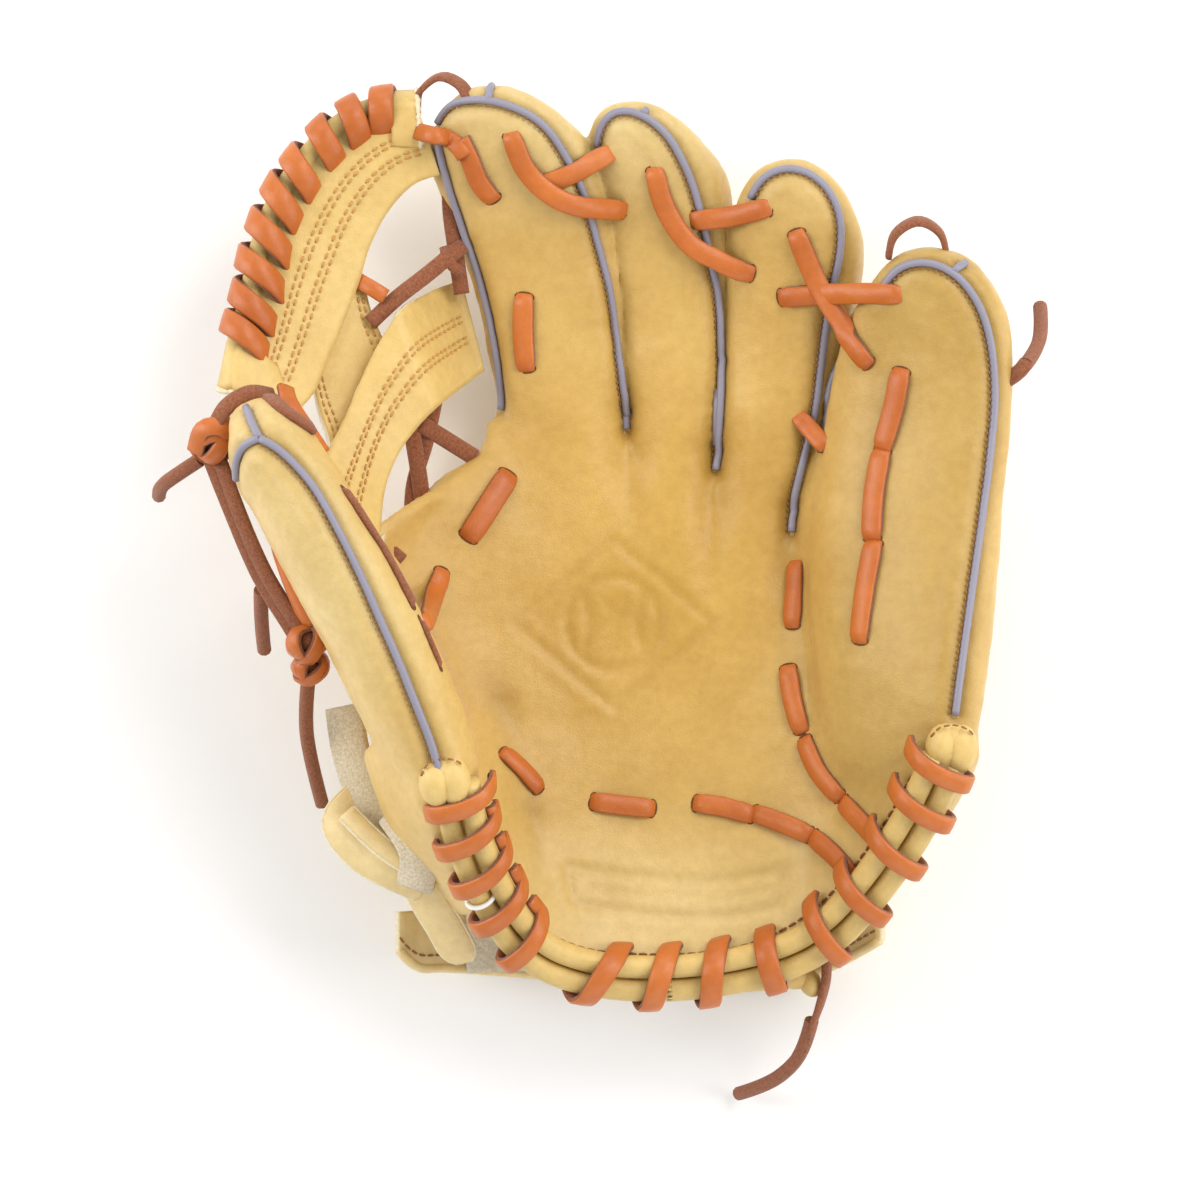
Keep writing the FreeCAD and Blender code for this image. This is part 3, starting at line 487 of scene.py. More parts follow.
def row_at(table, y):
    """The (x, z) points of a table's row, blended between the rows beside y."""
    ys = [r[0] for r in table]
    y = max(ys[0], min(ys[-1], y))
    i = max([k for k in range(len(ys) - 1) if ys[k] <= y] or [0])
    s = i + (y - ys[i]) / (ys[i + 1] - ys[i])
    flat = blend_row([[v for p in r[1] for v in p] for r in table], s)
    return list(zip(flat[::2], flat[1::2]))


def wall(table, y_lo, y_hi, rows, cols, thick, flip=False):
    grid = []
    for y in np.linspace(y_lo, y_hi, rows):
        pts = [(x, y, z) for x, z in row_at(table, y)]
        row = [Vector(blend_row(pts, (len(pts) - 1) * k / (cols - 1.0))) for k in range(cols)]
        grid.append(row[::-1] if flip else row)
    return thick_sheet(grid, thick)


def build_body():
    turns = [360.0 * k / STALL_SIDES for k in range(STALL_SIDES)]
    parts = [
        ([c.point(turn) for c in cuts for turn in turns], ring_faces(len(cuts), len(turns)))
        for cuts in CUTS.values()
    ]
    parts += [
        wall(PALM_FACE, -127, 42, 66, 60, 7.0),
        wall(BACK, -64, 44, 40, 70, 3.6, True),
        wall(THUMB_WALL, -108, -56, 26, 30, 4.0, True),
        wall(PINKY_WALL, -106, -56, 26, 30, 4.0),
    ]
    bpy.ops.object.select_all(action="DESELECT")
    for i, (verts, faces) in enumerate(parts):
        ob = make("part%d" % i, verts, faces, [])
        bm = bmesh.new()
        bm.from_mesh(ob.data)
        bmesh.ops.recalc_face_normals(bm, faces=bm.faces)
        bm.to_mesh(ob.data)
        bm.free()
        ob.select_set(True)
        if i == 0:
            bpy.context.view_layer.objects.active = ob
    bpy.ops.object.join()
    body = bpy.context.object
    body.name = "body"
    mod = body.modifiers.new("remesh", "REMESH")
    mod.mode = "VOXEL"
    mod.voxel_size = VOXEL
    bpy.ops.object.modifier_apply(modifier="remesh")
    return body


def values_of(items, field, width, kind=float):
    out = np.empty(len(items) * width, kind)
    items.foreach_get(field, out)
    return out.reshape(-1, width)


def arrays(mesh):
    co = values_of(mesh.vertices, "co", 3) * 1000.0 - np.array(PLACE)
    return co, values_of(mesh.edges, "vertices", 2, int)


def move_points(mesh, co):
    mesh.vertices.foreach_set("co", ((co + np.array(PLACE)) * 0.001).ravel())
    mesh.update()


def relax(co, ed, weight, times, signs=(1.0, -0.9)):
    """Laplacian smoothing with a weight per vertex, shrink held back by a negative pass."""
    n = len(co)
    deg = np.bincount(ed.ravel(), minlength=n).astype(float)
    deg[deg == 0] = 1
    for sign in signs * times:
        total = np.zeros_like(co)
        for a in range(3):
            total[:, a] = sum(np.bincount(ed[:, i], co[ed[:, j], a], n) for i, j in ((0, 1), (1, 0)))
        co = co + (total / deg[:, None] - co) * (weight * sign)[:, None]
    return co


def gauss(d, r):
    return np.exp(-((d / r) ** 2))


def seg_dist(co, a, b):
    """Distance in plan from points to a segment, and the place along it."""
    a, b = np.array(a[:2], float), np.array(b[:2], float)
    d = b - a
    t = np.clip(((co[:, :2] - a) @ d) / (d @ d), 0, 1)
    return np.linalg.norm(co[:, :2] - (a + t[:, None] * d), axis=1), t


CREASES = [
    # a, b, depth, radius: soft valleys in the palm, fading out from a to b
    ((1.5, 50), (5, 4), 6.0, 5.0),
    ((29.5, 38), (27, -14), 6.5, 5.0),
    ((53, 20), (49, -32), 5.5, 5.0),
    ((-27, -74), (-24, -118), 2.2, 3.6),
    ((-36, -40), (-28, -76), 1.6, 5.0),
]


def shape_body(body):
    """The parts melted into each other at their joints, then creases, bumps and wrinkles."""
    co, ed = arrays(body.data)
    co = relax(co, ed, np.full(len(co), 0.5), 4)
    x, y, z = co.T
    w = gauss(np.maximum(0, np.abs(y - 28) - 12), 14) * (z > 16) * gauss(np.maximum(0, -x - 40), 10)
    for a, b, r in (
        ((-44, -62), (-84, 6), 15.0),
        ((-50, -60), (-30, -118), 16.0),
        ((68, -60), (72, 10), 13.0),
        ((88, -62), (70, -108), 20.0),
    ):
        w = np.maximum(w, gauss(seg_dist(co, a, b)[0], r))
    low = gauss(np.maximum(0, z - 14), 14)
    w = np.maximum(w, 0.8 * low * (y > -70) * (y < 60))
    w = np.maximum(w, 0.9 * gauss(y + 62, 7) * (z < 80))
    co = relax(co, ed, 0.62 * w, 60, (1.0,))
    move_points(body.data, co)
    nrm = values_of(body.data.vertices, "normal", 3)
    face_up = np.clip(nrm[:, 2], 0, 1) * (co[:, 2] > 20)
    for a, b, depth, r in CREASES:
        d, t = seg_dist(co, a, b)
        fade = (1 - t) ** 1.2 * np.clip(t * 8 + 0.3, 0, 1)
        co[:, 2] -= depth * gauss(d, r) * fade * face_up
    bumps = np.array(
        [noise.noise(Vector(p) * 0.045) * 0.9 + noise.noise(Vector(p) * 0.11) * 0.35 for p in co]
    )
    skewed = [(p[0] * 0.05 + p[1] * 0.09, p[1] * 0.16 - p[0] * 0.1, p[2] * 0.1) for p in co]
    wrinkle = np.array([noise.noise(Vector(p)) for p in skewed])
    co += nrm * (bumps * 0.9 + 0.28 * np.abs(wrinkle))[:, None]
    # nothing below the floor
    co[:, 2] = np.where(co[:, 2] < 0.1, 0.1 + (co[:, 2] - 0.1) * 0.03, co[:, 2])
    move_points(body.data, co)


body = build_body()
shape_body(body)
corners = [v.co * 1000.0 - PLACE for v in body.data.vertices]
SKIN = BVHTree.FromPolygons(corners, [tuple(p.vertices) for p in body.data.polygons])


def snap(p):
    """The nearest place on the leather, and its normal."""
    return SKIN.find_nearest(p)[:2]


def look(x, y):
    """Where the line of sight through a plan point meets the leather: place and normal, or two Nones."""
    return SKIN.ray_cast(CAMERA, Vector((x, y, SIGHT_PLANE)) - CAMERA)[:2]


def sight(x, y, z):
    """The point at height z seen at a plan place."""
    ray = Vector((x, y, SIGHT_PLANE)) - CAMERA
    return CAMERA + ray * ((z - CAMERA.z) / ray.z)


# ---- which body a piece follows
SPAN = 13.0


def fold_side(fold, outward):
    """The fold's base point and the level direction away from the palm."""
    way = fold[1] - fold[0]
    way = Vector((way.x, way.y, 0)).normalized()
    return fold[0], Vector((way.y, -way.x, 0)) * outward


FOLDS = {"thumb": fold_side(THUMB_FOLD, -1), "pinky": fold_side(PINKY_FOLD, 1)}


def attach(ob, *nodes):
    """Ride the body the piece lies on; a piece that crosses a fold has its transform baked and rides no body.
    nodes: the CAD nodes it shows.
    """
    co = np.array([v.co for v in ob.data.vertices]) * 1000.0 - np.array(PLACE)
    found = "palm"
    for name, (base, out) in FOLDS.items():
        d = (co - np.array(base)) @ np.array(out)
        if d.min() >= SPAN:
            found = name
        elif d.max() > -SPAN:
            found = None
            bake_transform(ob)
            break
    if found:
        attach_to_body(ob, found)
    if nodes:
        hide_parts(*nodes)
    return ob


# ---- swept pieces
def sweep(points, ups, section, scale=None):
    verts = []
    for i, p in enumerate(points):
        way = heading(points, i).normalized()
        up = ups[i] - way * ups[i].dot(way)
        up = up.normalized() if up.length > 1e-4 else way.orthogonal().normalized()
        side = way.cross(up)
        k = scale[i] if scale else 1.0
        verts += [p + side * a * k + up * b * k for a, b in section]
    return verts, ring_faces(len(points), len(section))


def round_section(r, sides=10):
    turns = [2 * math.pi * k / sides for k in range(sides)]
    return [(r * math.cos(a), r * math.sin(a)) for a in turns]


class Pile:
    """Many small swept pieces in one mesh. Of a lace, material 0 is the face, 1 the flesh side, 2 the dark
    painted shade of a hole.
    """

    def __init__(self):
        self.verts, self.faces, self.ids = [], [], []

    def add(self, verts, faces, ids):
        off = len(self.verts)
        self.verts += verts
        self.faces += [tuple(off + k for k in f) for f in faces]
        self.ids += ids if isinstance(ids, list) else [ids] * len(faces)

    def tube(self, points, r, mat=0, sides=10):
        self.add(*sweep(points, [UP] * len(points), round_section(r, sides)), mat)

    def ribbon(self, points, ups, width=5.8, thick=2.0, grain=0, flesh=1, scale=None):
        w, inset = width / 2, width / 2 - 0.55
        section = [(-w, 0), (-w, 0.6 * thick), (-inset, 0.93 * thick), (0, thick)]
        section += [(inset, 0.93 * thick), (w, 0.6 * thick), (w, 0), (0, 0.05)]
        one = [flesh] + [grain] * 4 + [flesh] * 3
        self.add(*sweep(points, ups, section, scale), one * (len(points) - 1) + [flesh, flesh])

    # A dark disc just over the leather: painted shade where a lace goes into its hole.
    def hole_shade(self, p, normal, along, a, b):
        normal = normal.normalized()
        side = (along - normal * along.dot(normal)).normalized()
        other = normal.cross(side)
        turns = [k * math.pi / 7 for k in range(14)]
        ring = [p + normal * 0.16 + side * b * math.cos(t) + other * a * math.sin(t) for t in turns]
        self.add(ring + [p + normal * 0.2], [(k, (k + 1) % 14, 14) for k in range(14)], 2)

    def build(self, name, mats, *nodes):
        return attach(make(name, self.verts, self.faces, mats, self.ids), *nodes)


def taut(values, times):
    """Values pulled up towards a stretched string over them."""
    h = list(values)
    for _ in range(times):
        h = [h[0]] + [max(h[i], 0.5 * (h[i - 1] + h[i + 1])) for i in range(1, len(h) - 1)] + [h[-1]]
    return h


def laid(way, clear=0.2, step=1.4, times=14, calm=2):
    """A path over the leather through plan points (x, y, rise), with its normals."""
    found = []
    for p in smooth_path([(*p, 0.0)[:3] for p in way], step):
        place, normal = look(p.x, p.y)
        if place is not None:
            found.append((p, place, normal))
    heights = taut([f[1].z for f in found], times)
    points, ups = [], []
    for i, ((p, place, normal), z) in enumerate(zip(found, heights)):
        near = [f[2] for f in found[max(0, i - 3) : i + 4]]
        up = sum(near, Vector((0, 0, 0))).normalized()
        bridged = min(1.0, (z - place.z) / 2.0)
        up = up.lerp(UP, 0.6 * bridged).normalized()
        points.append(sight(p.x, p.y, z) + up * (clear + p.z))
        ups.append(up)
    for _ in range(calm):
        inner = [(a + b * 2 + c) / 4 for a, b, c in zip(points, points[1:], points[2:])]
        points = [points[0]] + inner + [points[-1]]
    return points, ups


def lace(pile, way, width=5.8, thick=2.0, times=14, clear=0.2, holes=(True, True), grain=0):
    """A flat lace over the leather, its ends going down through holes."""
    points, ups = laid(way, clear, 1.2, times)
    for sunk in holes:
        if sunk:
            points, ups = points[1:], ups[1:]
            a, up = points[0], ups[0]
            out = (a - points[1]).normalized()
            # the painted shade of the hole
            pile.hole_shade(a + out * 1.3 - up * clear, up, out, width * 0.52, 1.7)
            points = [a + out * o - up * u for o, u in ((1.7, 4.2), (1.5, 1.7), (0.9, 0.5))] + points
            ups = [up + out * lean for lean in (2.0, 1.2, 0.5)] + ups
        points, ups = points[::-1], ups[::-1]
    scale = [1.0] * len(points)
    for k, narrow in enumerate((0.66, 0.74, 0.84, 0.93, 0.98)):
        for sunk, i in zip(holes, (k, -1 - k)):
            if sunk:
                scale[i] = min(scale[i], narrow)
    pile.ribbon(points, ups, width * 1.04, thick, grain, scale=scale)


def free_lace(pile, points, up, width=5.6, thick=1.8, grain=0):
    """A flat lace through points in space."""
    path = smooth_path([Vector(p) for p in points])
    pile.ribbon(path, [Vector(up)] * len(path), width, thick, grain)


def stitches(pile, path, ups, pitch=3.0, length=2.1, r=0.38, mat=0, rise=0.25):
    """Short threads in a row along a path."""
    run = running(path)
    for k in range(int(run[-1] / pitch)):
        ends = []
        for s, up in ((0.0, rise - 0.3), (length * 0.5, rise), (length, rise - 0.3)):
            s = min(k * pitch + s, run[-1] - 1e-6)
            i = max(0, min(len(path) - 2, int(np.searchsorted(run, s)) - 1))
            u = (s - run[i]) / max(1e-9, run[i + 1] - run[i])
            ends.append(path[i].lerp(path[i + 1], u) + ups[i] * up)
        pile.add(*sweep(ends, [ups[0]] * 3, round_section(r, 6), [0.7, 1.0, 0.7]), mat)


def nearest_share(path, x, y):
    best = min(range(len(path)), key=lambda i: (path[i].x - x) ** 2 + (path[i].y - y) ** 2)
    return best / (len(path) - 1.0)


def whip(pile, path, places, centre, reach_in, reach_out, over, slants, width=5.8, thick=1.9, tilt=0.0):
    """Lace wrapped round an edge at each plan place: up inside, across and down outside."""
    run = running(path)
    shape = [(-reach_in - 0.6, -over * 0.95), (-reach_in, -over * 0.3), (-reach_in * 0.72, over * 0.55)]
    shape += [(-reach_in * 0.3, over * 0.98), (reach_out * 0.2, over), (reach_out * 0.8, over * 0.55)]
    shape += [(reach_out, -over * 0.2), (reach_out * 0.7, -over * 0.9), (-reach_in * 0.1, -over * 1.35)]
    for (x, y), slant in zip(places, slants):
        s = nearest_share(path, x, y) * run[-1]
        i = max(1, min(len(path) - 2, int(np.searchsorted(run, s))))
        c = path[i]
        way = heading(path, i).normalized()
        out = Vector((c.x - centre[0], c.y - centre[1], 0))
        out = out - way * out.dot(way)
        out.z = 0
        out = (out.normalized() + UP * tilt).normalized()
        up = out.cross(way)
        up = (-up if up.z < 0 else up).normalized()
        leans = [slant * (2.0 * k / (len(shape) - 1) - 1) for k in range(len(shape))]
        spots = smooth_path([c + out * o + up * u + way * lean for (o, u), lean in zip(shape, leans)], 1.2)
        mid = c + out * (reach_out - reach_in) * 0.4 - up * 1.0
        pile.ribbon(spots, [(p - mid) - way * (p - mid).dot(way) for p in spots], width, thick)
        # the painted shade of the hole
        pile.hole_shade(spots[0].lerp(spots[2], 0.6) - out * 0.5, up, out, width * 0.5, 1.2)


# ---- seams
def seam(name, turn, start, stop):
    """A line along a finger stall at one turn about its length, on the leather."""
    found = [snap(c.point(turn)) for c in CUTS[name][start:stop]]
    return [f[0] for f in found], [f[1] for f in found]


WELTS = {
    # the visible seams of each finger in plan: from the base over the tip, then short branches
    "index": [
        [
            (2.1, 43.5), (0, 57), (-3, 79.5), (-7.5, 97.5), (-11.4, 111), (-16.5, 121.5), (-22.5, 130),
            (-30, 135), (-39, 137.8), (-46.5, 137.8), (-51.8, 135.5), (-54.5, 131)
        ],
        [
            (-54.8, 128), (-53, 118), (-50, 108), (-47, 99), (-43.8, 90), (-41.2, 81), (-39, 72), (-37, 61.5),
            (-35.6, 51), (-35.6, 45)
        ],
        [(-39.5, 137.5), (-38.5, 142)],
    ],
    "middle": [
        [
            (28.8, 27), (30.4, 50), (29.7, 76), (27.3, 89), (24, 105), (20.5, 116), (15.5, 125.5),
            (10.5, 131), (5, 134.1), (0, 134.8), (-4, 132.6), (-6.2, 128.5), (-6.8, 124)
        ],
        [(6.6, 133.8), (9.5, 136.2)],
    ],
    "ring": [
        [
            (51.6, 8.5), (52, 16.5), (55, 30), (58.5, 45), (60.8, 63), (63.3, 80), (65.6, 90), (66.2, 100),
            (64.3, 107.5), (60.3, 113.2), (55.5, 116.4), (50, 117.4), (45.2, 116), (41.6, 113), (39.4, 108.5)
        ],
    ],
    "pinky": [
        [
            (100.5, -46.5), (104, -20), (107.5, 5), (110, 24), (112, 42), (112.3, 54), (111, 66), (108.3, 75),
            (104.4, 81.6), (100, 86), (95, 88.6), (90, 89.4), (84.5, 88), (81, 85), (79, 81)
        ],
        [(99.6, 86.4), (103.5, 89)],
    ],
    "thumb": [
        [
            (-54, -64), (-57, -54), (-60, -46.5), (-63, -39), (-66, -31.5), (-72, -18), (-78, -4.5),
            (-84, 7.5), (-91.5, 21), (-99, 30), (-104, 34.3), (-108, 36.3)
        ],
        [(-108, 36.3), (-110.5, 41.5), (-112.5, 47)],
        [(-108, 36.3), (-111.7, 35.2), (-114.3, 31.8), (-114.9, 27), (-113.6, 20), (-110.6, 13), (-106.8, 6)],
    ],
}
BACK_SEAM_STARTS = {"middle": 12, "ring": 12, "pinky": 32}
WELT_PATHS = {}
for name, ways in WELTS.items():
    lines = []
    for way in ways:
        points, ups = laid(way, 0.55 if name == "thumb" else 0.15, 1.5, 6, 5)
        if name != "thumb":
            points = [p.lerp(snap(p)[0] + snap(p)[1] * 0.3, 0.85) for p in points]
        lines.append((points, ups))
    if name in BACK_SEAM_STARTS:
        lines.append(seam(name, 178, BACK_SEAM_STARTS[name], -12))
    if name != "thumb":
        lines.append(seam(name, 268, 12, -2))
    WELT_PATHS[name] = lines


def beside(points, ups, away, rise=0.0):
    """The same line moved sideways over the leather."""
    sides = [heading(points, i).normalized().cross(up).normalized() for i, up in enumerate(ups)]
    return [p + side * away + up * rise for p, side, up in zip(points, sides, ups)]


def arc(cx, cy, rx, ry, a0, a1, count):
    turns = [math.radians(a0 + (a1 - a0) * k / count) for k in range(count + 1)]
    return [(cx + rx * math.cos(a), cy + ry * math.sin(a)) for a in turns]


# pressed in the palm: a generic ball with two curved seams inside a plain frame, and a plain band below it
MARK = [
    arc(-2, -19, 14, 14, 0, 360, 36),
    arc(-20, -19, 11, 13, -38, 38, 10),
    arc(16, -19, 11, 13, 142, 218, 10),
    [(-32, -19), (-25, -13), (-9, 0.5), (-2, 6)],
    [(-2, 6), (5, 0.5), (21, -13), (28, -19)],
    [(28, -19), (21, -25), (5, -38.5), (-2, -44)],
    [(-2, -44), (-9, -38.5), (-25, -25), (-32, -19)],
    [(-16, -92), (6, -95), (30, -96), (50, -93)],
    [(-14, -103), (6, -106), (30, -107), (48, -104)],
    [(-16, -92), (-14, -103)],
    [(50, -93), (48, -104)],
]


# ---- tone, painted shade and painted highlights, and materials of the body
def distances(co, lines):
    """How far each point is from the nearest point of some lines."""
    points = [p for line in lines for p in line]
    tree = KDTree(len(points))
    for i, p in enumerate(points):
        tree.insert(p, i)
    tree.balance()
    return np.array([tree.find(Vector(p))[2] for p in co])


def is_inside(face):
    """Whether a face looks into the hand's hollow: leather lies both above and below it."""
    c = face.center * 1000.0 - PLACE
    if not (-70 < c.x < 110 and c.y < 45):
        return False
    start = c + face.normal * 0.6
    return all(SKIN.ray_cast(start, way)[0] is not None for way in (UP, -UP))


def paint_body(body):
    """Grooves along the seams and the pressed mark, then the tones with painted shade and painted highlights,
    and the lining.
    """
    mesh = body.data
    co, _ = arrays(mesh)
    nrm = values_of(mesh.vertices, "normal", 3)
    seam_d = distances(co, [points for lines in WELT_PATHS.values() for points, _ in lines])
    mark_d = distances(co, [laid(way, 0.05, 1.2, 2)[0] for way in MARK])
    sink = -1.0 * gauss(seam_d, 2.0) + 0.75 * gauss(seam_d - 5.5, 3.2)
    sink = sink - 0.55 * gauss(mark_d, 1.5) + 0.2 * gauss(mark_d - 3.2, 1.6)
    co = co + nrm * sink[:, None]
    move_points(mesh, co)
    x, y, z = co.T
    # Painted shade: darker and more saturated along the seam grooves, in the palm's pocket and in the
    # creases.
    light = 1.0 - 0.16 * gauss(seam_d, 3.2) - 0.06 * gauss(seam_d, 9)
    pocket_shade = gauss(np.hypot((x - 2) / 60.0, (y + 12) / 60.0), 1.0) * (nrm[:, 2] > 0)
    light -= 0.035 * pocket_shade
    for a, b, _, r in CREASES:
        d, t = seg_dist(co, a, b)
        light -= 0.2 * gauss(d, 0.9 * r) * (1 - t) * np.clip(nrm[:, 2], 0, 1)
    # the leather's own uneven tone
    shift = Vector((9, 3, 1))
    light += 0.05 * np.array(
        [noise.noise(Vector(p) * 0.028) + 0.5 * noise.noise(Vector(p) * 0.09 + shift) for p in co]
    )
    # Painted shade: darker low down near the floor and in the pressed lines of the mark.
    light -= 0.10 * np.clip((14 - z) / 14, 0, 1)
    light -= 0.05 * gauss(mark_d, 1.4)
    # Painted highlight: leather facing sideways, round the rims, is lightened and paled.
    rim_highlight = np.clip(1.0 - nrm[:, 2] * 1.15, 0, 1) * (z > 24) * (nrm[:, 2] > -0.5)
    light += 0.09 * rim_highlight
    red = np.clip(light, 0.4, 1.12)
    green = np.clip(light - 0.5 * (1 - light) * 0.35 - 0.02 * pocket_shade + 0.05 * rim_highlight, 0.3, 1.16)
    blue = np.clip(light - (1 - light) * 0.6 - 0.10 * pocket_shade + 0.2 * rim_highlight, 0.2, 1.4)
    # Painted highlight (pale): the top of the thumb, the finger ends and the heel are lightened and paled,
    # most where they face up. The little finger's upper face is a little darker (calm), the middle of the
    # palm deeper and warmer (warm).
    masks = []
    for rows, r in ((THUMB, 11), (PINKY, 14)):
        best = np.min([seg_dist(co, a, b)[0] for a, b in zip(rows, rows[1:])], axis=0)
        masks.append(gauss(np.maximum(0, best - r), 7.0))
    thumb = masks[0] * (z > 56) * np.clip((y + 62) / 50, 0.3, 1)
    pinky = masks[1] * (nrm[:, 2] > 0)
    pale = np.maximum(np.clip((y - 96) / 34, 0, 1), np.clip((-y - 72) / 34, 0, 1))
    pale = np.maximum(pale, thumb)
    pale *= np.clip(nrm[:, 2] * 1.4, 0.25, 1)
    calm = pinky * (1 - pale)
    warm = gauss(np.hypot((x - 12) / 48.0, (y + 2) / 62.0), 1.0) * (nrm[:, 2] > 0)
    red = red * (1 + 0.11 * pale) * (1 - 0.13 * calm) * (1 - 0.02 * warm)
    green = green * (1 + 0.26 * pale) * (1 - 0.13 * calm) * (1 - 0.06 * warm)
    blue = blue * (1 + 0.72 * pale) * (1 - 0.18 * calm) * (1 - 0.30 * warm)
    # per-vertex colour: the leather's own uneven tone with painted shade and painted highlights
    tone_and_painted_light = np.stack([red, green, blue, np.ones(len(co))], axis=1)
    layer = mesh.color_attributes.new("tone_and_painted_light", "FLOAT_COLOR", "POINT")
    layer.data.foreach_set("color", tone_and_painted_light.astype(np.float32).ravel())
    mesh.materials.clear()
    mesh.materials.append(PALM)
    mesh.materials.append(LINING)
    mesh.polygons.foreach_set("material_index", [int(is_inside(p)) for p in mesh.polygons])
    mesh.polygons.foreach_set("use_smooth", [True] * len(mesh.polygons))


paint_body(body)


def half(body, keep_left, name):
    """One side of the body, cut upright through the middle of the palm, shaded like the whole."""
    bm = bmesh.new()
    bm.from_mesh(body.data)
    tree = KDTree(len(bm.verts))
    for i, v in enumerate(bm.verts):
        tree.insert(v.co, i)
    tree.balance()
    whole = [v.normal.copy() for v in bm.verts]
    geom = bm.verts[:] + bm.edges[:] + bm.faces[:]
    sides = {"clear_outer": keep_left, "clear_inner": not keep_left}
    bmesh.ops.bisect_plane(bm, geom=geom, plane_co=world((SPLIT_X, 0, 0)), plane_no=(1, 0, 0), **sides)
    mesh = bpy.data.meshes.new(name)
    bm.to_mesh(mesh)
    bm.free()
    for m in (PALM, LINING):
        mesh.materials.append(m)
    ob = bpy.data.objects.new(name, mesh)
    scene.collection.objects.link(ob)
    normals = []
    for v in mesh.vertices:
        near = tree.find_n(v.co, 3)
        if near[0][2] < 1e-7:
            normals.append(whole[near[0][1]])
        else:
            normals.append(sum((whole[i] / (d + 1e-6) for _, i, d in near), Vector((0, 0, 0))).normalized())
    mesh.normals_split_custom_set_from_vertices(normals)
    return ob


def stall_nodes(*fingers):
    return [finger + part for finger in fingers for part in ("_front", "_back", "_lining")]


PALM_NODES = ["palm_shell", "palm_pad", "palm_lining", "back_lining", "back_of_hand"]
THUMB_HEEL = ["thumb_palm", "thumb_heel_pad", "thumb_heel_lining", "thumb_side"]
PINKY_HEEL = ["pinky_heel", "pinky_heel_pad", "pinky_heel_lining", "pinky_side"]
left_half = half(body, True, "glove_leather_thumb_side")
right_half = half(body, False, "glove_leather_finger_side")
bpy.data.objects.remove(body)
attach(left_half, *PALM_NODES, *stall_nodes("index", "middle", "thumb"), *THUMB_HEEL)
attach(right_half, *stall_nodes("ring", "pinky"), *PINKY_HEEL)

for name, lines in WELT_PATHS.items():
    pile = Pile()
    for points, ups in lines:
        pile.add(*sweep(points, ups, round_section(WELT_R)), 0)
    pile.build(name + "_welt", [WELT], name + "_welting")
for name, lines in WELT_PATHS.items():
    pile = Pile()
    points, ups = lines[0]
    stitches(pile, beside(points, ups, -1.75, 0.1), ups, 2.0, 1.1, 0.26, 0, 0.3)
    pile.build(name + "_welt_stitches", [THREAD_DARK])


# ---- heel: rolled bindings whipped with lace
def blob(pile, c, way, long, r, mat=0):
    """A rounded lump, long along way."""
    way = Vector(way).normalized()
    turns = [math.pi * (k + 0.35) / 8.7 for k in range(9)]
    points = [Vector(c) - way * long * math.cos(a) for a in turns]
    scale = [max(0.12, math.sin(a)) for a in turns]
    pile.add(*sweep(points, [way.orthogonal()] * 9, round_section(r, 12), scale), mat)


MIDDLE_OF_PALM = (SPLIT_X, -20)
RIM = [
    (-49, -67, 95), (-46.5, -80, 88), (-42, -92, 80), (-36.5, -103, 71), (-29, -113.5, 62), (-18, -121, 55),
    (0, -125, 51),
    (24, -124.6, 50), (48, -119.5, 52.5), (63, -111, 57), (76.5, -96, 65), (88.5, -78, 74), (97, -60, 81.5),
]
rim = smooth_path([sight(*p) for p in RIM], 1.5)


def shifted(path, away, down):
    """The rim moved level away from the palm and down."""
    out = []
    for i, p in enumerate(path):
        way = heading(path, i)
        side = Vector((way.y, -way.x, 0)).normalized()
        if side.dot(p - Vector((*MIDDLE_OF_PALM, p.z))) < 0:
            side = -side
        out.append(p + side * away - UP * down)
    return out


inner, outer = shifted(rim, -3.3, -0.6), shifted(rim, 3.8, 1.6)
# the arch of stitches on an end cap: across, along and above its middle
ARCH = [(-6.6, 2.5, 2.4), (-4.5, 5.4, 3.4), (0, 6.8, 3.6), (4.5, 5.6, 3.4), (6.8, 2.5, 2.4)]


def heel_roll(name, x_lo, x_hi, end, way, cross, *nodes):
    """Both rolls over a span of x, with a rounded cap and its arch of stitches at their end."""
    pile = Pile()
    way, cross = Vector(way), Vector(cross)
    for line in (inner, outer):
        pile.tube([p for p in line if x_lo <= p.x <= x_hi], ROLL_R, 0, 14)
    blob(pile, end - cross * 2.6, way, 7.0, 5.2)
    blob(pile, end + cross * 2.8, way, 7.4, 5.0)
    blob(pile, end + way * 3.0 - UP * 0.6, cross, 7.0, 4.4)
    arch = smooth_path([end + cross * c + way * w + UP * u for c, w, u in ARCH], 1.0)
    stitches(pile, arch, [UP] * len(arch), 2.6, 1.7, 0.34, 1, 0.3)
    pile.build("heel_roll_" + name, [WEBL, THREAD_DARK], *nodes)


thumb_end, finger_end = rim[0] + Vector((-3.4, 0.5, 1.6)), rim[-1] + Vector((2.4, 3.5, -0.5))
heel_roll("thumb_side", -90, 16, thumb_end, (-0.1, 1, 0.15), (1, 0.1, 0), "thumb_binding")
heel_roll("finger_side", 14, 130, finger_end, (0.15, 1, 0.15), (1, -0.15, 0), "pinky_binding", "heel_binding")

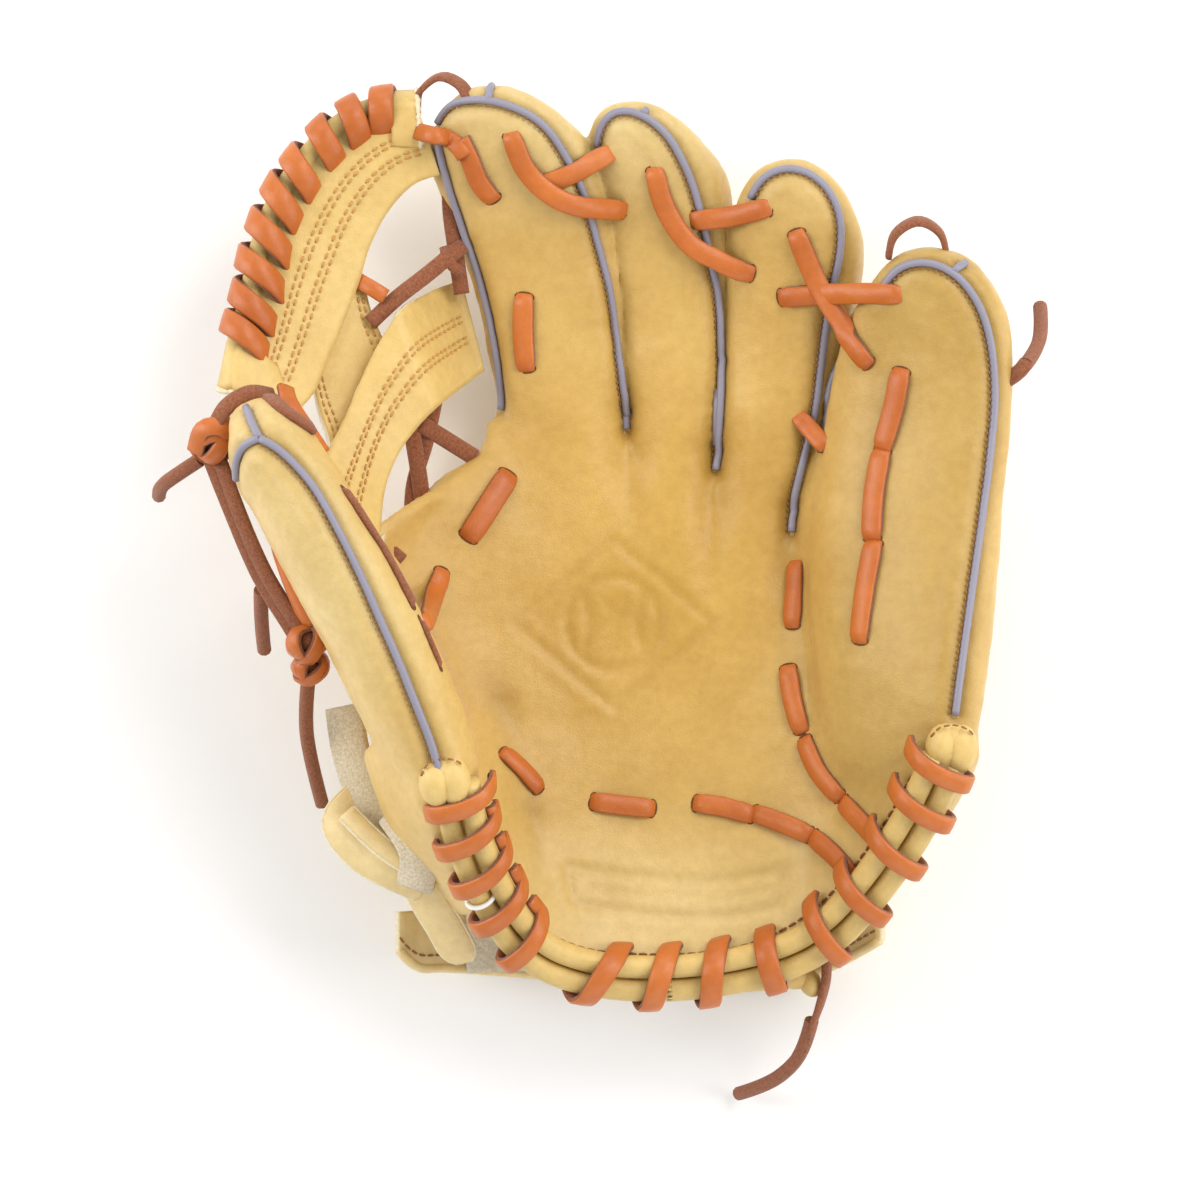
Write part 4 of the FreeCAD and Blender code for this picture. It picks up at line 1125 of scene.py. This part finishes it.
# lace face, flesh side, and the dark painted shade in the lace holes
LACED = [LACE, FLESH, HOLE_SHADE]
SIDE_WRAP = (9.5, 9.2, 5.0)
THUMB_WRAPS = [(-48, -71), (-45.5, -81), (-41.5, -92), (-36.5, -102.5), (-28, -113)]
BOTTOM_WRAPS = [(-8, -123.5), (9, -125), (26, -124), (43, -120.5)]
FINGER_WRAPS = [(60, -113), (72, -102), (82, -88), (90, -75.5), (95.5, -64)]
pile = Pile()
whip(pile, rim, THUMB_WRAPS, MIDDLE_OF_PALM, *SIDE_WRAP, [2.2] * 5)
spots = [nearest_share(rim, x, y) for x, y in THUMB_WRAPS]
for a, b in zip(spots, spots[1:]):
    first = int(a * len(rim)) + 2
    run = shifted(rim, -8.4, 1.2)[first : int(b * len(rim)) - 1]
    ups = [(p - q).normalized() + UP for p, q in zip(run, shifted(rim, -3.0, 4.0)[first:])]
    pile.ribbon(run, ups, 3.6, 1.6)
pile.build("heel_whip_thumb_side", LACED, "thumb_heel_lace")
pile = Pile()
whip(pile, rim, BOTTOM_WRAPS, MIDDLE_OF_PALM, 7.8, 8.6, 4.9, [-7.5, -5.5, -4.5, -1.0], 6.6, 1.9, -0.1)
pile.build("heel_whip_bottom", LACED, "heel_lace")
pile = Pile()
whip(pile, rim, FINGER_WRAPS, MIDDLE_OF_PALM, *SIDE_WRAP, [-2.2] * 5)
pile.build("heel_whip_finger_side", LACED, "pinky_heel_lace")

for tag, way in (
    ("left", [(-31, -103), (-24, -110.5), (-15, -115.2), (-5, -117.6), (13, -118.6)]),
    ("right", [(14, -118.6), (32, -117), (47, -112), (60, -103.5), (72, -90), (82, -75), (89, -62)]),
):
    pile = Pile()
    stitches(pile, *laid(way, 0.15, 1.2, 6), 3.2, 2.3, 0.42, 0, 0.5)
    pile.build("heel_stitches_" + tag, [THREAD_DARK])

# white tie round the rolls on the thumb side
pile = Pile()
i = int(nearest_share(rim, -38, -99) * (len(rim) - 1))
c, way = outer[i], heading(rim, i).normalized()
out = way.cross(UP).normalized()
turns = np.linspace(0, 2 * math.pi, 33)
ring = [c + out * 4.3 * math.cos(a) + out.cross(way) * 4.3 * math.sin(a) for a in turns]
pile.tube(ring, 0.75, 0, 8)
pile.build("tie", [WHITE])

# ---- web
WEB_INDEX = (Vector((-40, 38, 0)), Vector((-58, 140, 0)))
WEB_THUMB = (Vector((-73, 8, 0)), Vector((-119, 56, 0)))


def web_height(x, y):
    def gap(line):
        a, b = line
        way = b - a
        return abs((x - a.x) * way.y - (y - a.y) * way.x) / way.length

    near, far = gap(WEB_INDEX), gap(WEB_THUMB)
    t = near / max(1e-6, near + far)
    rise = max(0.0, min(1.0, (y - 10) / 120.0))
    return 41 + 5 * rise + 19 * t - 20 * t * (1 - t)


def even(points, count):
    path = smooth_path([(p[0], p[1], 0) for p in points], 0.7)
    return [path[int(round(i * (len(path) - 1) / (count - 1.0)))] for i in range(count)]


def web_grid(first, second, lift, rows, cols, crown, height=None):
    """Points over the web between two edges, as the camera sees them; height changes each point's own."""
    grid = []
    for i, (a, b) in enumerate(zip(even(first, rows), even(second, rows))):
        row = []
        for j in range(cols):
            t = j / (cols - 1.0)
            p = a.lerp(b, t)
            z = web_height(p.x, p.y) + lift + crown * math.sin(math.pi * t)
            z += 0.5 * noise.noise(Vector((p.x, p.y, lift)) * 0.12)
            row.append(sight(p.x, p.y, height(i / (rows - 1.0), t, p, z) if height else z))
        grid.append(row)
    return grid


def grid_line(grid, share, rise=0.0, start=0, stop=None):
    """A line along a grid at one share of its width, with its normals."""
    points, ups = [], []
    f = share * (len(grid[0]) - 1)
    j = min(int(f), len(grid[0]) - 2)
    column = [row[j] for row in grid]
    for i, row in enumerate(grid):
        up = heading(column, i).cross(row[j + 1] - row[j]).normalized()
        if up.z < 0:
            up = -up
        points.append(row[j].lerp(row[j + 1], f - j) + up * rise)
        ups.append(up)
    return points[start:stop], ups[start:stop]


def sheet_mesh(grid, thick):
    """A sheet's solid, face side up, with material 1 on its cut edges."""
    if (grid[1][0] - grid[0][0]).cross(grid[0][1] - grid[0][0]).z > 0:
        grid = [row[::-1] for row in grid]
    verts, faces = thick_sheet(grid, thick)
    tops = (len(grid) - 1) * (len(grid[0]) - 1) * 2
    return verts, faces, [0] * tops + [1] * (len(faces) - tops)


BAR_OUT = [
    (-61, 137), (-74, 135.6), (-85, 130), (-95.5, 119), (-103.4, 106.4), (-108.4, 92), (-111.4, 77.5),
    (-115, 64), (-116, 52)
]
BAR_IN = [
    (-54, 115.5), (-62, 112.5), (-69.5, 104.5), (-75, 94), (-78, 84), (-82.5, 72), (-87.5, 60), (-91.5, 50.5),
    (-97.8, 43.5)
]
POST_A = [(-77, 86), (-75, 76), (-71, 66), (-68, 58)]
POST_B = [(-92, 53), (-89.8, 44), (-87.3, 37), (-86, 29)]
LOW_A = [(-47.5, 84), (-57, 80.5), (-66, 74.5), (-73, 64), (-78, 53.5), (-82.5, 43), (-88, 32), (-92, 22)]
LOW_B = [(-40.5, 57), (-47, 52), (-54, 46.5), (-60.5, 40), (-66, 32.5), (-70, 23), (-71.5, 13), (-72, 2)]


def low_height(s, t, p, z):
    """The lower bar comes down on the forefinger at one end."""
    place, _ = look(p.x, p.y)
    ground = place.z + 2.6 if place is not None and place.z > 12 else 26.0
    share = max(0.0, min(1.0, s / 0.3))
    share = share * share * (3 - 2 * share)
    return ground + (z - ground) * share if s < 0.3 else z


bar = web_grid(BAR_OUT, BAR_IN, 1.5, 110, 18, 1.5)
post = web_grid(POST_A, POST_B, -1.5, 40, 22, 0.8)
low = web_grid(LOW_A, LOW_B, 6.0, 90, 18, 1.2, low_height)
for name, grid, thick, nodes in (
    ("web_bar", bar, 3.6, ["web_top_index", "web_top_thumb"]),
    ("web_post", post, 2.6, []),
    ("web_low_bar", low, 3.4, ["web_low_index", "web_low_thumb"]),
):
    verts, faces, ids = sheet_mesh(grid, thick)
    attach(make(name, verts, faces, [WEBL, RAW], ids), *nodes)

pile = Pile()
for grid, shares, pitch, length, r, start, stop in (
    (bar, (0.42, 0.48, 0.62, 0.68), 2.9, 1.9, 0.4, 4, 104),
    (post, (0.07, 0.14, 0.86, 0.93), 2.6, 1.8, 0.36, 0, None),
    (low, (0.36, 0.42, 0.58, 0.64), 2.9, 1.9, 0.4, 4, 84),
):
    for share in shares:
        stitches(pile, *grid_line(grid, share, 0.1, start, stop), pitch, length, r)
pile.build("web_stitches", [THREAD])


def cuff_height(s, t, p, z):
    """A cuff dips where it starts outside and towards its end inside."""
    return z - 7 * max(0.0, 1 - s / 0.3) ** 2 - 1.2 * max(0.0, (s - 0.8) / 0.2)


bind = [p - UP * 1.4 for p in grid_line(bar, 0.0)[0]]
pile = Pile()
pile.tube(bind, 3.3, 0, 14)
for first, second in (
    ([(-68.5, 141), (-68.6, 133), (-68.5, 124)], [(-61, 141.2), (-60.4, 133), (-59.6, 123.5)]),
    ([(-118, 66), (-110, 63.5), (-102.5, 58.5)], [(-121, 51.5), (-111, 48.6), (-98.6, 46.4)]),
):
    grid = web_grid(first, second, 4.4, 22, 9, 0.5, cuff_height)
    pile.add(*sheet_mesh(grid, 1.5))
    lip = []
    for k, row in enumerate(grid):
        ragged = Vector((0.3 * math.sin(3.7 * k), 0.3 * math.sin(5.1 * k), 0))
        lip.append(row[-1] + UP * (0.1 + 0.3 * math.sin(2.1 * k)) + ragged)
    pile.tube(lip, 0.85, 1, 6)
pile.build("web_binding", [WEBL, RAW], "web_binding_index", "web_binding_thumb")

WEB_WRAPS = {
    # plan place: slant
    (-70.5, 134.5): -2.0,
    (-79.5, 132): -2.5,
    (-88, 126.5): -4.0,
    (-96, 118.5): -5.5,
    (-102, 109.5): -7.0,
    (-106.5, 99): -7.5,
    (-109.5, 88.5): -7.5,
    (-111.5, 78): -7.5,
    (-114, 69): -6.5,
}
pile = Pile()
whip(pile, bind, WEB_WRAPS, (-70, 62), 8.4, 4.6, 4.8, WEB_WRAPS.values(), 7.4, 2.1)
pile.build("web_whip", LACED, "web_lace_index", "web_lace_thumb")


BEHIND = [
    # width, grain, points of a lace seen through the web
    (4.8, 1, [(-51, 118, 40), (-51, 106, 37), (-49.5, 94, 35), (-47.5, 80, 32)]),
    (4.8, 1, [(-44, 96, 32), (-49.5, 92.4, 38), (-58, 85.5, 42), (-67, 78.5, 44.5), (-75, 71, 46)]),
    (3.4, 1, [(-52.5, 93.5, 38), (-51, 89, 39.5), (-48, 86.5, 37)]),
    (4.8, 0, [(-78, 83.5, 45), (-74.5, 81.5, 47.2), (-70.5, 79, 46.6)]),
    (5.0, 1, [(-72, 58, 44), (-64, 44, 42), (-61, 30, 40), (-59, 15, 37), (-58, 3, 34)]),
    (4.6, 1, [(-55, 50, 40), (-58, 36, 38), (-62, 22, 37), (-62.5, 8, 36)]),
    (5.2, 1, [(-60, 41, 42), (-52, 36, 36), (-44, 31, 30)]),
    (5.0, 1, [(-73, 6, 52), (-70, 3.5, 51), (-66, 0, 48)]),
]
pile = Pile()
for width, grain, points in BEHIND:
    free_lace(pile, [sight(*p) for p in points], UP, width, 1.8, grain)
pile.build("web_cross_lace", [LACE, FLESH])

pile = Pile()
lace(pile, [(-109, 53), (-103, 46), (-96, 41), (-90, 37)], 4.6, 1.8, 10, 0.2, (False, False), 1)
lace(pile, [(-83, 21), (-77, 12), (-71, 2.5), (-66.5, -5.5), (-62.3, -13.5)], 3.4, 1.4, 6, 0.1, grain=1)
lace(pile, [(-60, -18), (-57, -25), (-54, -32)], 1.8, 1.2, 6, 0.1, grain=1)
pile.build("thumb_edge_lace", LACED)

# ---- laces in the fingers and the palm
def tip_loop(pile, points, middle):
    """A narrow lace arching over a fingertip, turned away from a middle."""
    loop = smooth_path(points, 1.4)
    pile.ribbon(loop, [(p - Vector(middle)).normalized() for p in loop], 4.4, 1.8, 1)


def laces(pile, *runs):
    """Runs of lace in and out of the leather: width, then plan points. A rise lifts one over another lace."""
    for width, *way in runs:
        lifted = any(len(p) > 2 for p in way)
        lace(pile, way, width, times=60 if lifted else 14)


pile = Pile()
lace(pile, [(-28.6, 79), (-28.8, 68), (-28, 57.5)], 6.2)
lace(pile, [(-47.5, 126.5), (-44.5, 120), (-42, 113.5), (-38, 108.5)], 6.0, holes=(False, True))
ends = [look(x, y)[0] + look(x, y)[1] * 1.3 for x, y in ((-51, 126.5), (-48, 124.5), (-46, 121.5))]
free_lace(pile, [sight(-60, 128.3, 50), sight(-55.8, 127.3, 57)] + ends, (-0.25, 0.1, 1), 5.2, 1.9)
laces(
    pile,
    (6.0, (-25, 112), (-15, 116, 0.2), (-3, 122)),
    (6.0, (-32.5, 127.5), (-28, 117), (-19.5, 109.5, 2.4), (-10, 106, 2.4), (1, 105)),
    (6.0, (22, 102), (33, 103, 0.2), (44.5, 105.8)),
    (6.0, (10.5, 117), (13.5, 106), (21, 95, 2.4), (30, 89.5, 2.4), (39.5, 86)),
)
tip_loop(
    pile, [(-61, 134, 40), (-60, 140, 46), (-54, 144.5, 50), (-48, 142, 53), (-45, 137, 55)], (-53, 133, 44)
)
pile.build("finger_laces", LACED, "finger_lace")

pile = Pile()
lace(pile, [(48.5, 78.8), (60, 79.8, 0.2), (72, 80, 0.2), (84, 79.8)], 6.0, times=80)
laces(pile, (6.0, (53, 98), (58, 86, 0.5), (63, 76, 2.6), (69, 67, 1.0), (74.5, 59)))
lace(pile, [(53.5, 43), (57.5, 38.5), (61.5, 34)], 5.4, times=30)
tip_loop(pile, [(80.5, 90, 66), (82, 96, 70), (88, 99.5, 72), (94, 96.5, 70), (96, 91, 67)], (88, 90, 66))
laces(
    pile,
    (6.4, (84.5, 56.5), (82.5, 46), (79, 33.5)),
    (6.4, (78.8, 32.5), (76.6, 20), (75.8, 6.5)),
    (6.2, (76.4, 5), (74, -8), (72, -24)),
    (5.8, (53, -1), (52.6, -10), (51.8, -19.5)),
)
pile.build("pinky_laces", LACED, "pinky_lace")

pile = Pile()
laces(
    pile,
    (5.8, (50.5, -32.5), (52, -42), (54.5, -51)),
    (5.8, (55.5, -54), (59.5, -63), (66, -71)),
    (5.8, (67, -72.5), (74, -80), (80, -86.5)),
    (5.8, (23, -73), (31, -74.2), (39.5, -76.5)),
    (5.8, (40.5, -76), (49, -79), (57, -82.5)),
    (5.8, (58, -83), (64, -88), (69.5, -94)),
)
pile.build("palm_laces_right", LACED)
pile = Pile()
laces(
    pile,
    (7.0, (-33.5, 25.5), (-39, 17), (-45.5, 7)),
    (5.6, (-53.5, -3.5), (-56, -11), (-59, -20)),
    (5.2, (-35, -58), (-29.5, -63), (-24.5, -68.5)),
    (5.8, (-8, -72.5), (0, -73.5), (9.5, -74.6)),
)
pile.build("palm_laces_left", LACED, "palm_lace")


# ---- knots, wrist strap and its pull
def knot(pile, c, r, way):
    """A tight half knot of lace: three crossing turns."""
    c, way = Vector(c), Vector(way).normalized()
    a = way.orthogonal().normalized()
    b = way.cross(a)
    for k, (u, v) in enumerate(((way, a), (b, way), (a * 0.8 + b * 0.6, way * 0.8 + b * 0.5))):
        u, v = u.normalized(), v.normalized()
        ring = []
        for m in range(25):
            t = 2 * math.pi * m / 24 + k
            flat = u * (r * 0.92 - 0.4 * k) * math.cos(t) + v * (r * 0.72) * math.sin(t)
            ring.append(c + flat + u.cross(v) * 0.8 * math.sin(2 * t))
        pile.ribbon(ring, [p - c for p in ring], 5.0, 1.8)
    blob(pile, c, way, r * 0.7, r * 0.62, 1)


pile = Pile()
knot(pile, (-119.5, 35.5, 74), 7.4, (0.6, 0.4, 0.3))
free_lace(pile, [(-125, 32, 76), (-122.5, 38, 81), (-116.5, 38.5, 81), (-113, 34, 76)], (-0.2, 0.2, 0.9))
knot(pile, (-92.5, -24.5, 72), 5.6, (0.2, 1, 0.2))
knot(pile, (-92, -32, 67), 4.6, (0.5, 0.6, 0.2))
THUMB_LINKS = [
    # up, width, grain, points
    (
        (-0.4, 0.05, 0.9), 4.8, 1,
        [(-121.5, 31, 71), (-115.5, 16, 72), (-107, -4, 71), (-98, -19, 71), (-93, -27, 71)]
    ),
    (
        (-0.5, 0.1, 0.85), 4.4, 1,
        [(-119, 32, 73), (-112, 13, 74), (-104.5, -4, 74), (-96.5, -17, 73), (-91, -25, 72)]
    ),
    ((-0.7, 0, 0.7), 5.2, 0, [(-101.5, 9, 80), (-99.5, 1, 79), (-96, -9, 78), (-92, -19, 74)]),
    ((-0.2, 0.3, 0.9), 5.0, 1, [(-103, 48, 76), (-109, 48.5, 82), (-115.5, 44.5, 83), (-119.5, 38, 79)]),
    ((0.4, 0.2, 0.9), 5.4, 0, [(-99, 50, 76), (-97, 45, 84), (-92.5, 38, 84), (-88, 31, 80)]),
]
for up, width, grain, points in THUMB_LINKS:
    free_lace(pile, points, up, width, 1.8, grain)
pile.build("thumb_tie", [LACE, FLESH], "thumb_knots")

pile = Pile()
free_lace(
    pile, [(108, 50, 52), (114, 52.5, 62), (118.5, 55.5, 66), (121, 58.5, 65.5)], (-0.5, 0.3, 1), 4.6, grain=1
)
pile.build("pinky_tie", [LACE, FLESH])
pile = Pile()
link = [(61.5, -118, 46), (61.5, -126, 46), (59.8, -133.5, 44), (57.9, -139.5, 40.8), (57, -143.5, 38.6)]
free_lace(pile, link, (0.9, 0.2, 0.5), 4.2, 1.8, 1)
blob(pile, (51.5, -125, 43), (1, -0.35, 0), 6.5, 4.4, 2)
blob(pile, (57.5, -127.5, 43), (0.5, -1, 0), 4.6, 3.6, 2)
pile.build("heel_tie", [LACE, FLESH, WEBL])

# the strap seen along y, from the little finger side: x, z
STRAP = [
    (80, 38), (77, 31), (72, 23), (64, 15.6), (52, 8.5), (25, 4.2), (-5, 3.8), (-30, 7.2), (-46, 12.8),
    (-56, 18.5), (-62, 24), (-68, 33)
]


def strap_height(x):
    return float(np.interp(-x, [-p[0] for p in STRAP], [p[1] for p in STRAP]))


def strap_grid(rise, rows, cols, x_lo, x_hi, y_lo, y_hi):
    """Points over the strap, its height smoothed along x, its edge at y_hi drawn in at the thumb end."""
    grid = [[] for _ in range(rows)]
    for j in range(cols):
        x = x_lo + (x_hi - x_lo) * j / (cols - 1.0)
        z = (2 * strap_height(x) + sum([strap_height(x + d) for d in (-9, -4, 4, 9)])) / 6.0
        lo, hi = y_lo(x), y_hi - 7.0 * min(1.0, max(0.0, (-34.0 - x) / 12.0))
        for i, row in enumerate(grid):
            row.append(Vector((x, lo + (hi - lo) * i / (rows - 1.0), z + rise)))
    return grid


def strap_low(x):
    """The strap's edge away from the fingers: bulged in the middle, drawn in and rounded at its ends."""
    bulge = 3.5 * math.exp(-(((x - 36) / 22.0) ** 2))
    ends = 13.0 * max(0.0, (x - 52) / 27.0) ** 1.5 + 3.6 * min(1.0, max(0.0, (-20.0 - x) / 35.0))
    return -128.5 - bulge + ends + 6.0 * max(0.0, (-59.0 - x) / 8.0) ** 2


STRAP_SPAN = (-67, 79, strap_low, -100)
PAD_SPAN = (-46, 58, lambda x: -126.5, -102)
edge = strap_grid(-0.9, 2, 90, *STRAP_SPAN)[0]
lip, row = Pile(), Pile()
lip.tube(edge, 1.5)
stitches(row, [p + Vector((0, 4.0, 1.1)) for p in edge], [UP] * len(edge), 3.2, 2.2, 0.4)
# The strap and its lip are in the paler leather: painted light that lifts them out of shade.
for name, mats, shape, nodes in (
    ("strap", [PALE_AND_LIT_LEATHER, RAW], sheet_mesh(strap_grid(0, 18, 90, *STRAP_SPAN), 2.4), ["wrist_strap"]),
    ("strap_fleece", [FLEECE] * 2, sheet_mesh(strap_grid(4.4, 14, 60, *PAD_SPAN), 3.6), ["wrist_pad"]),
    ("strap_lip", [PALE_AND_LIT_LEATHER], (lip.verts, lip.faces, lip.ids), []),
    ("strap_stitches", [THREAD_DARK], (row.verts, row.faces, row.ids), []),
):
    verts, faces, ids = shape
    ob = make(name, verts, faces, mats, ids)
    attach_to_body(ob, "wrist_strap")
    if nodes:
        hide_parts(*nodes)


def band(pile, points, up, width, grain, edge=2, thick=2.2, tip=0, trim=True):
    """A wide flat strap through plan places and heights, with its pale cut edges and a rounded tip."""
    path = smooth_path([sight(*p) for p in points], 1.5)
    up = Vector(up).normalized()
    scale = [1.0] * len(path)
    for k in range(tip):
        scale[-1 - k] = math.sqrt(max(0.05, 1 - ((tip - k - 0.4) / tip) ** 2))
    pile.ribbon(path, [up] * len(path), width, thick, grain, edge, scale)
    for side in (-1, 1) if trim else ():
        across = [heading(path, i).normalized().cross(up).normalized() * side for i in range(len(path))]
        trimmed = [p + a * width * 0.5 * k + up * thick * 0.5 * k for p, a, k in zip(path, across, scale)]
        pile.tube(trimmed, 0.6, 2, 6)


pile = Pile()
FLAP = [(-82.5, -44, 48), (-80.5, -57, 50), (-76.5, -70, 52), (-70.5, -84, 50)]
LOOP = [
    (-72, -67, 46), (-79, -71.5, 50), (-84, -79, 54), (-77.5, -88, 56), (-68, -93.5, 58), (-58.5, -97.5, 54)
]
WRAP = [(-67, -76, 58), (-62.5, -82.5, 65), (-60, -89, 66), (-61, -96.5, 58)]
CROSSING = [(-82, -76, 57), (-74, -84, 60), (-66, -90, 62), (-58, -93.5, 60), (-52, -93, 53)]
TONGUE = [(-61.5, -93, 54), (-57.5, -101, 49), (-51.5, -111, 42), (-46.5, -120.5, 36)]
band(pile, FLAP, (-0.35, -0.1, 0.9), 12.0, 1, 1, 2.6, trim=False)
band(pile, LOOP, (-0.1, -0.3, 0.95), 10.0, 0)
band(pile, WRAP, (-0.15, -0.05, 1), 11.5, 1, 1, 3.4, trim=False)
band(pile, CROSSING, (0.1, 0.25, 1), 5.5, 0)
band(pile, TONGUE, (-0.3, -0.1, 0.95), 11.5, 0, tip=5)
pile.build("pull_thong", [PALE_AND_LIT_LEATHER, SUEDE, RAW], "thumb_pull_thong")


# ---- loose lace ends
def tail(name, points, body_name):
    data = bpy.data.curves.new(name, "CURVE")
    data.dimensions = "3D"
    data.bevel_depth = 0.0022
    data.bevel_resolution = 3
    data.use_fill_caps = True
    data.resolution_u = 16
    line = data.splines.new("NURBS")
    line.points.add(len(points) - 1)
    for p, co in zip(line.points, points):
        p.co = (*world(co), 1)
    line.order_u = 3
    line.use_endpoint_u = True
    data.materials.append(FLESH)
    ob = bpy.data.objects.new(name, data)
    scene.collection.objects.link(ob)
    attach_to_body(ob, body_name)
    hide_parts(name)


tail(
    "heel_tail", [(58, -139, 41), (56, -149, 35), (50, -157, 26), (43, -162, 15), (37, -165, 4)], "palm",
)
tail("pinky_tail", [(120.5, 58, 66), (124, 62, 59), (127, 69, 48), (127.5, 77, 36)], "pinky")
tail(
    "thumb_upper_tail", [(-124.5, 29.5, 71), (-132, 25, 67), (-138, 21.5, 57), (-139, 19.5, 44.5)], "thumb",
)
tail(
    "thumb_long_tail", [(-92.5, -33, 64), (-94.5, -46, 56), (-93.5, -60, 44), (-90.5, -74, 32)], "thumb",
)
tail("thumb_short_tail", [(-106.5, -9, 69), (-107.5, -17, 58), (-107.5, -27, 41)], "thumb")
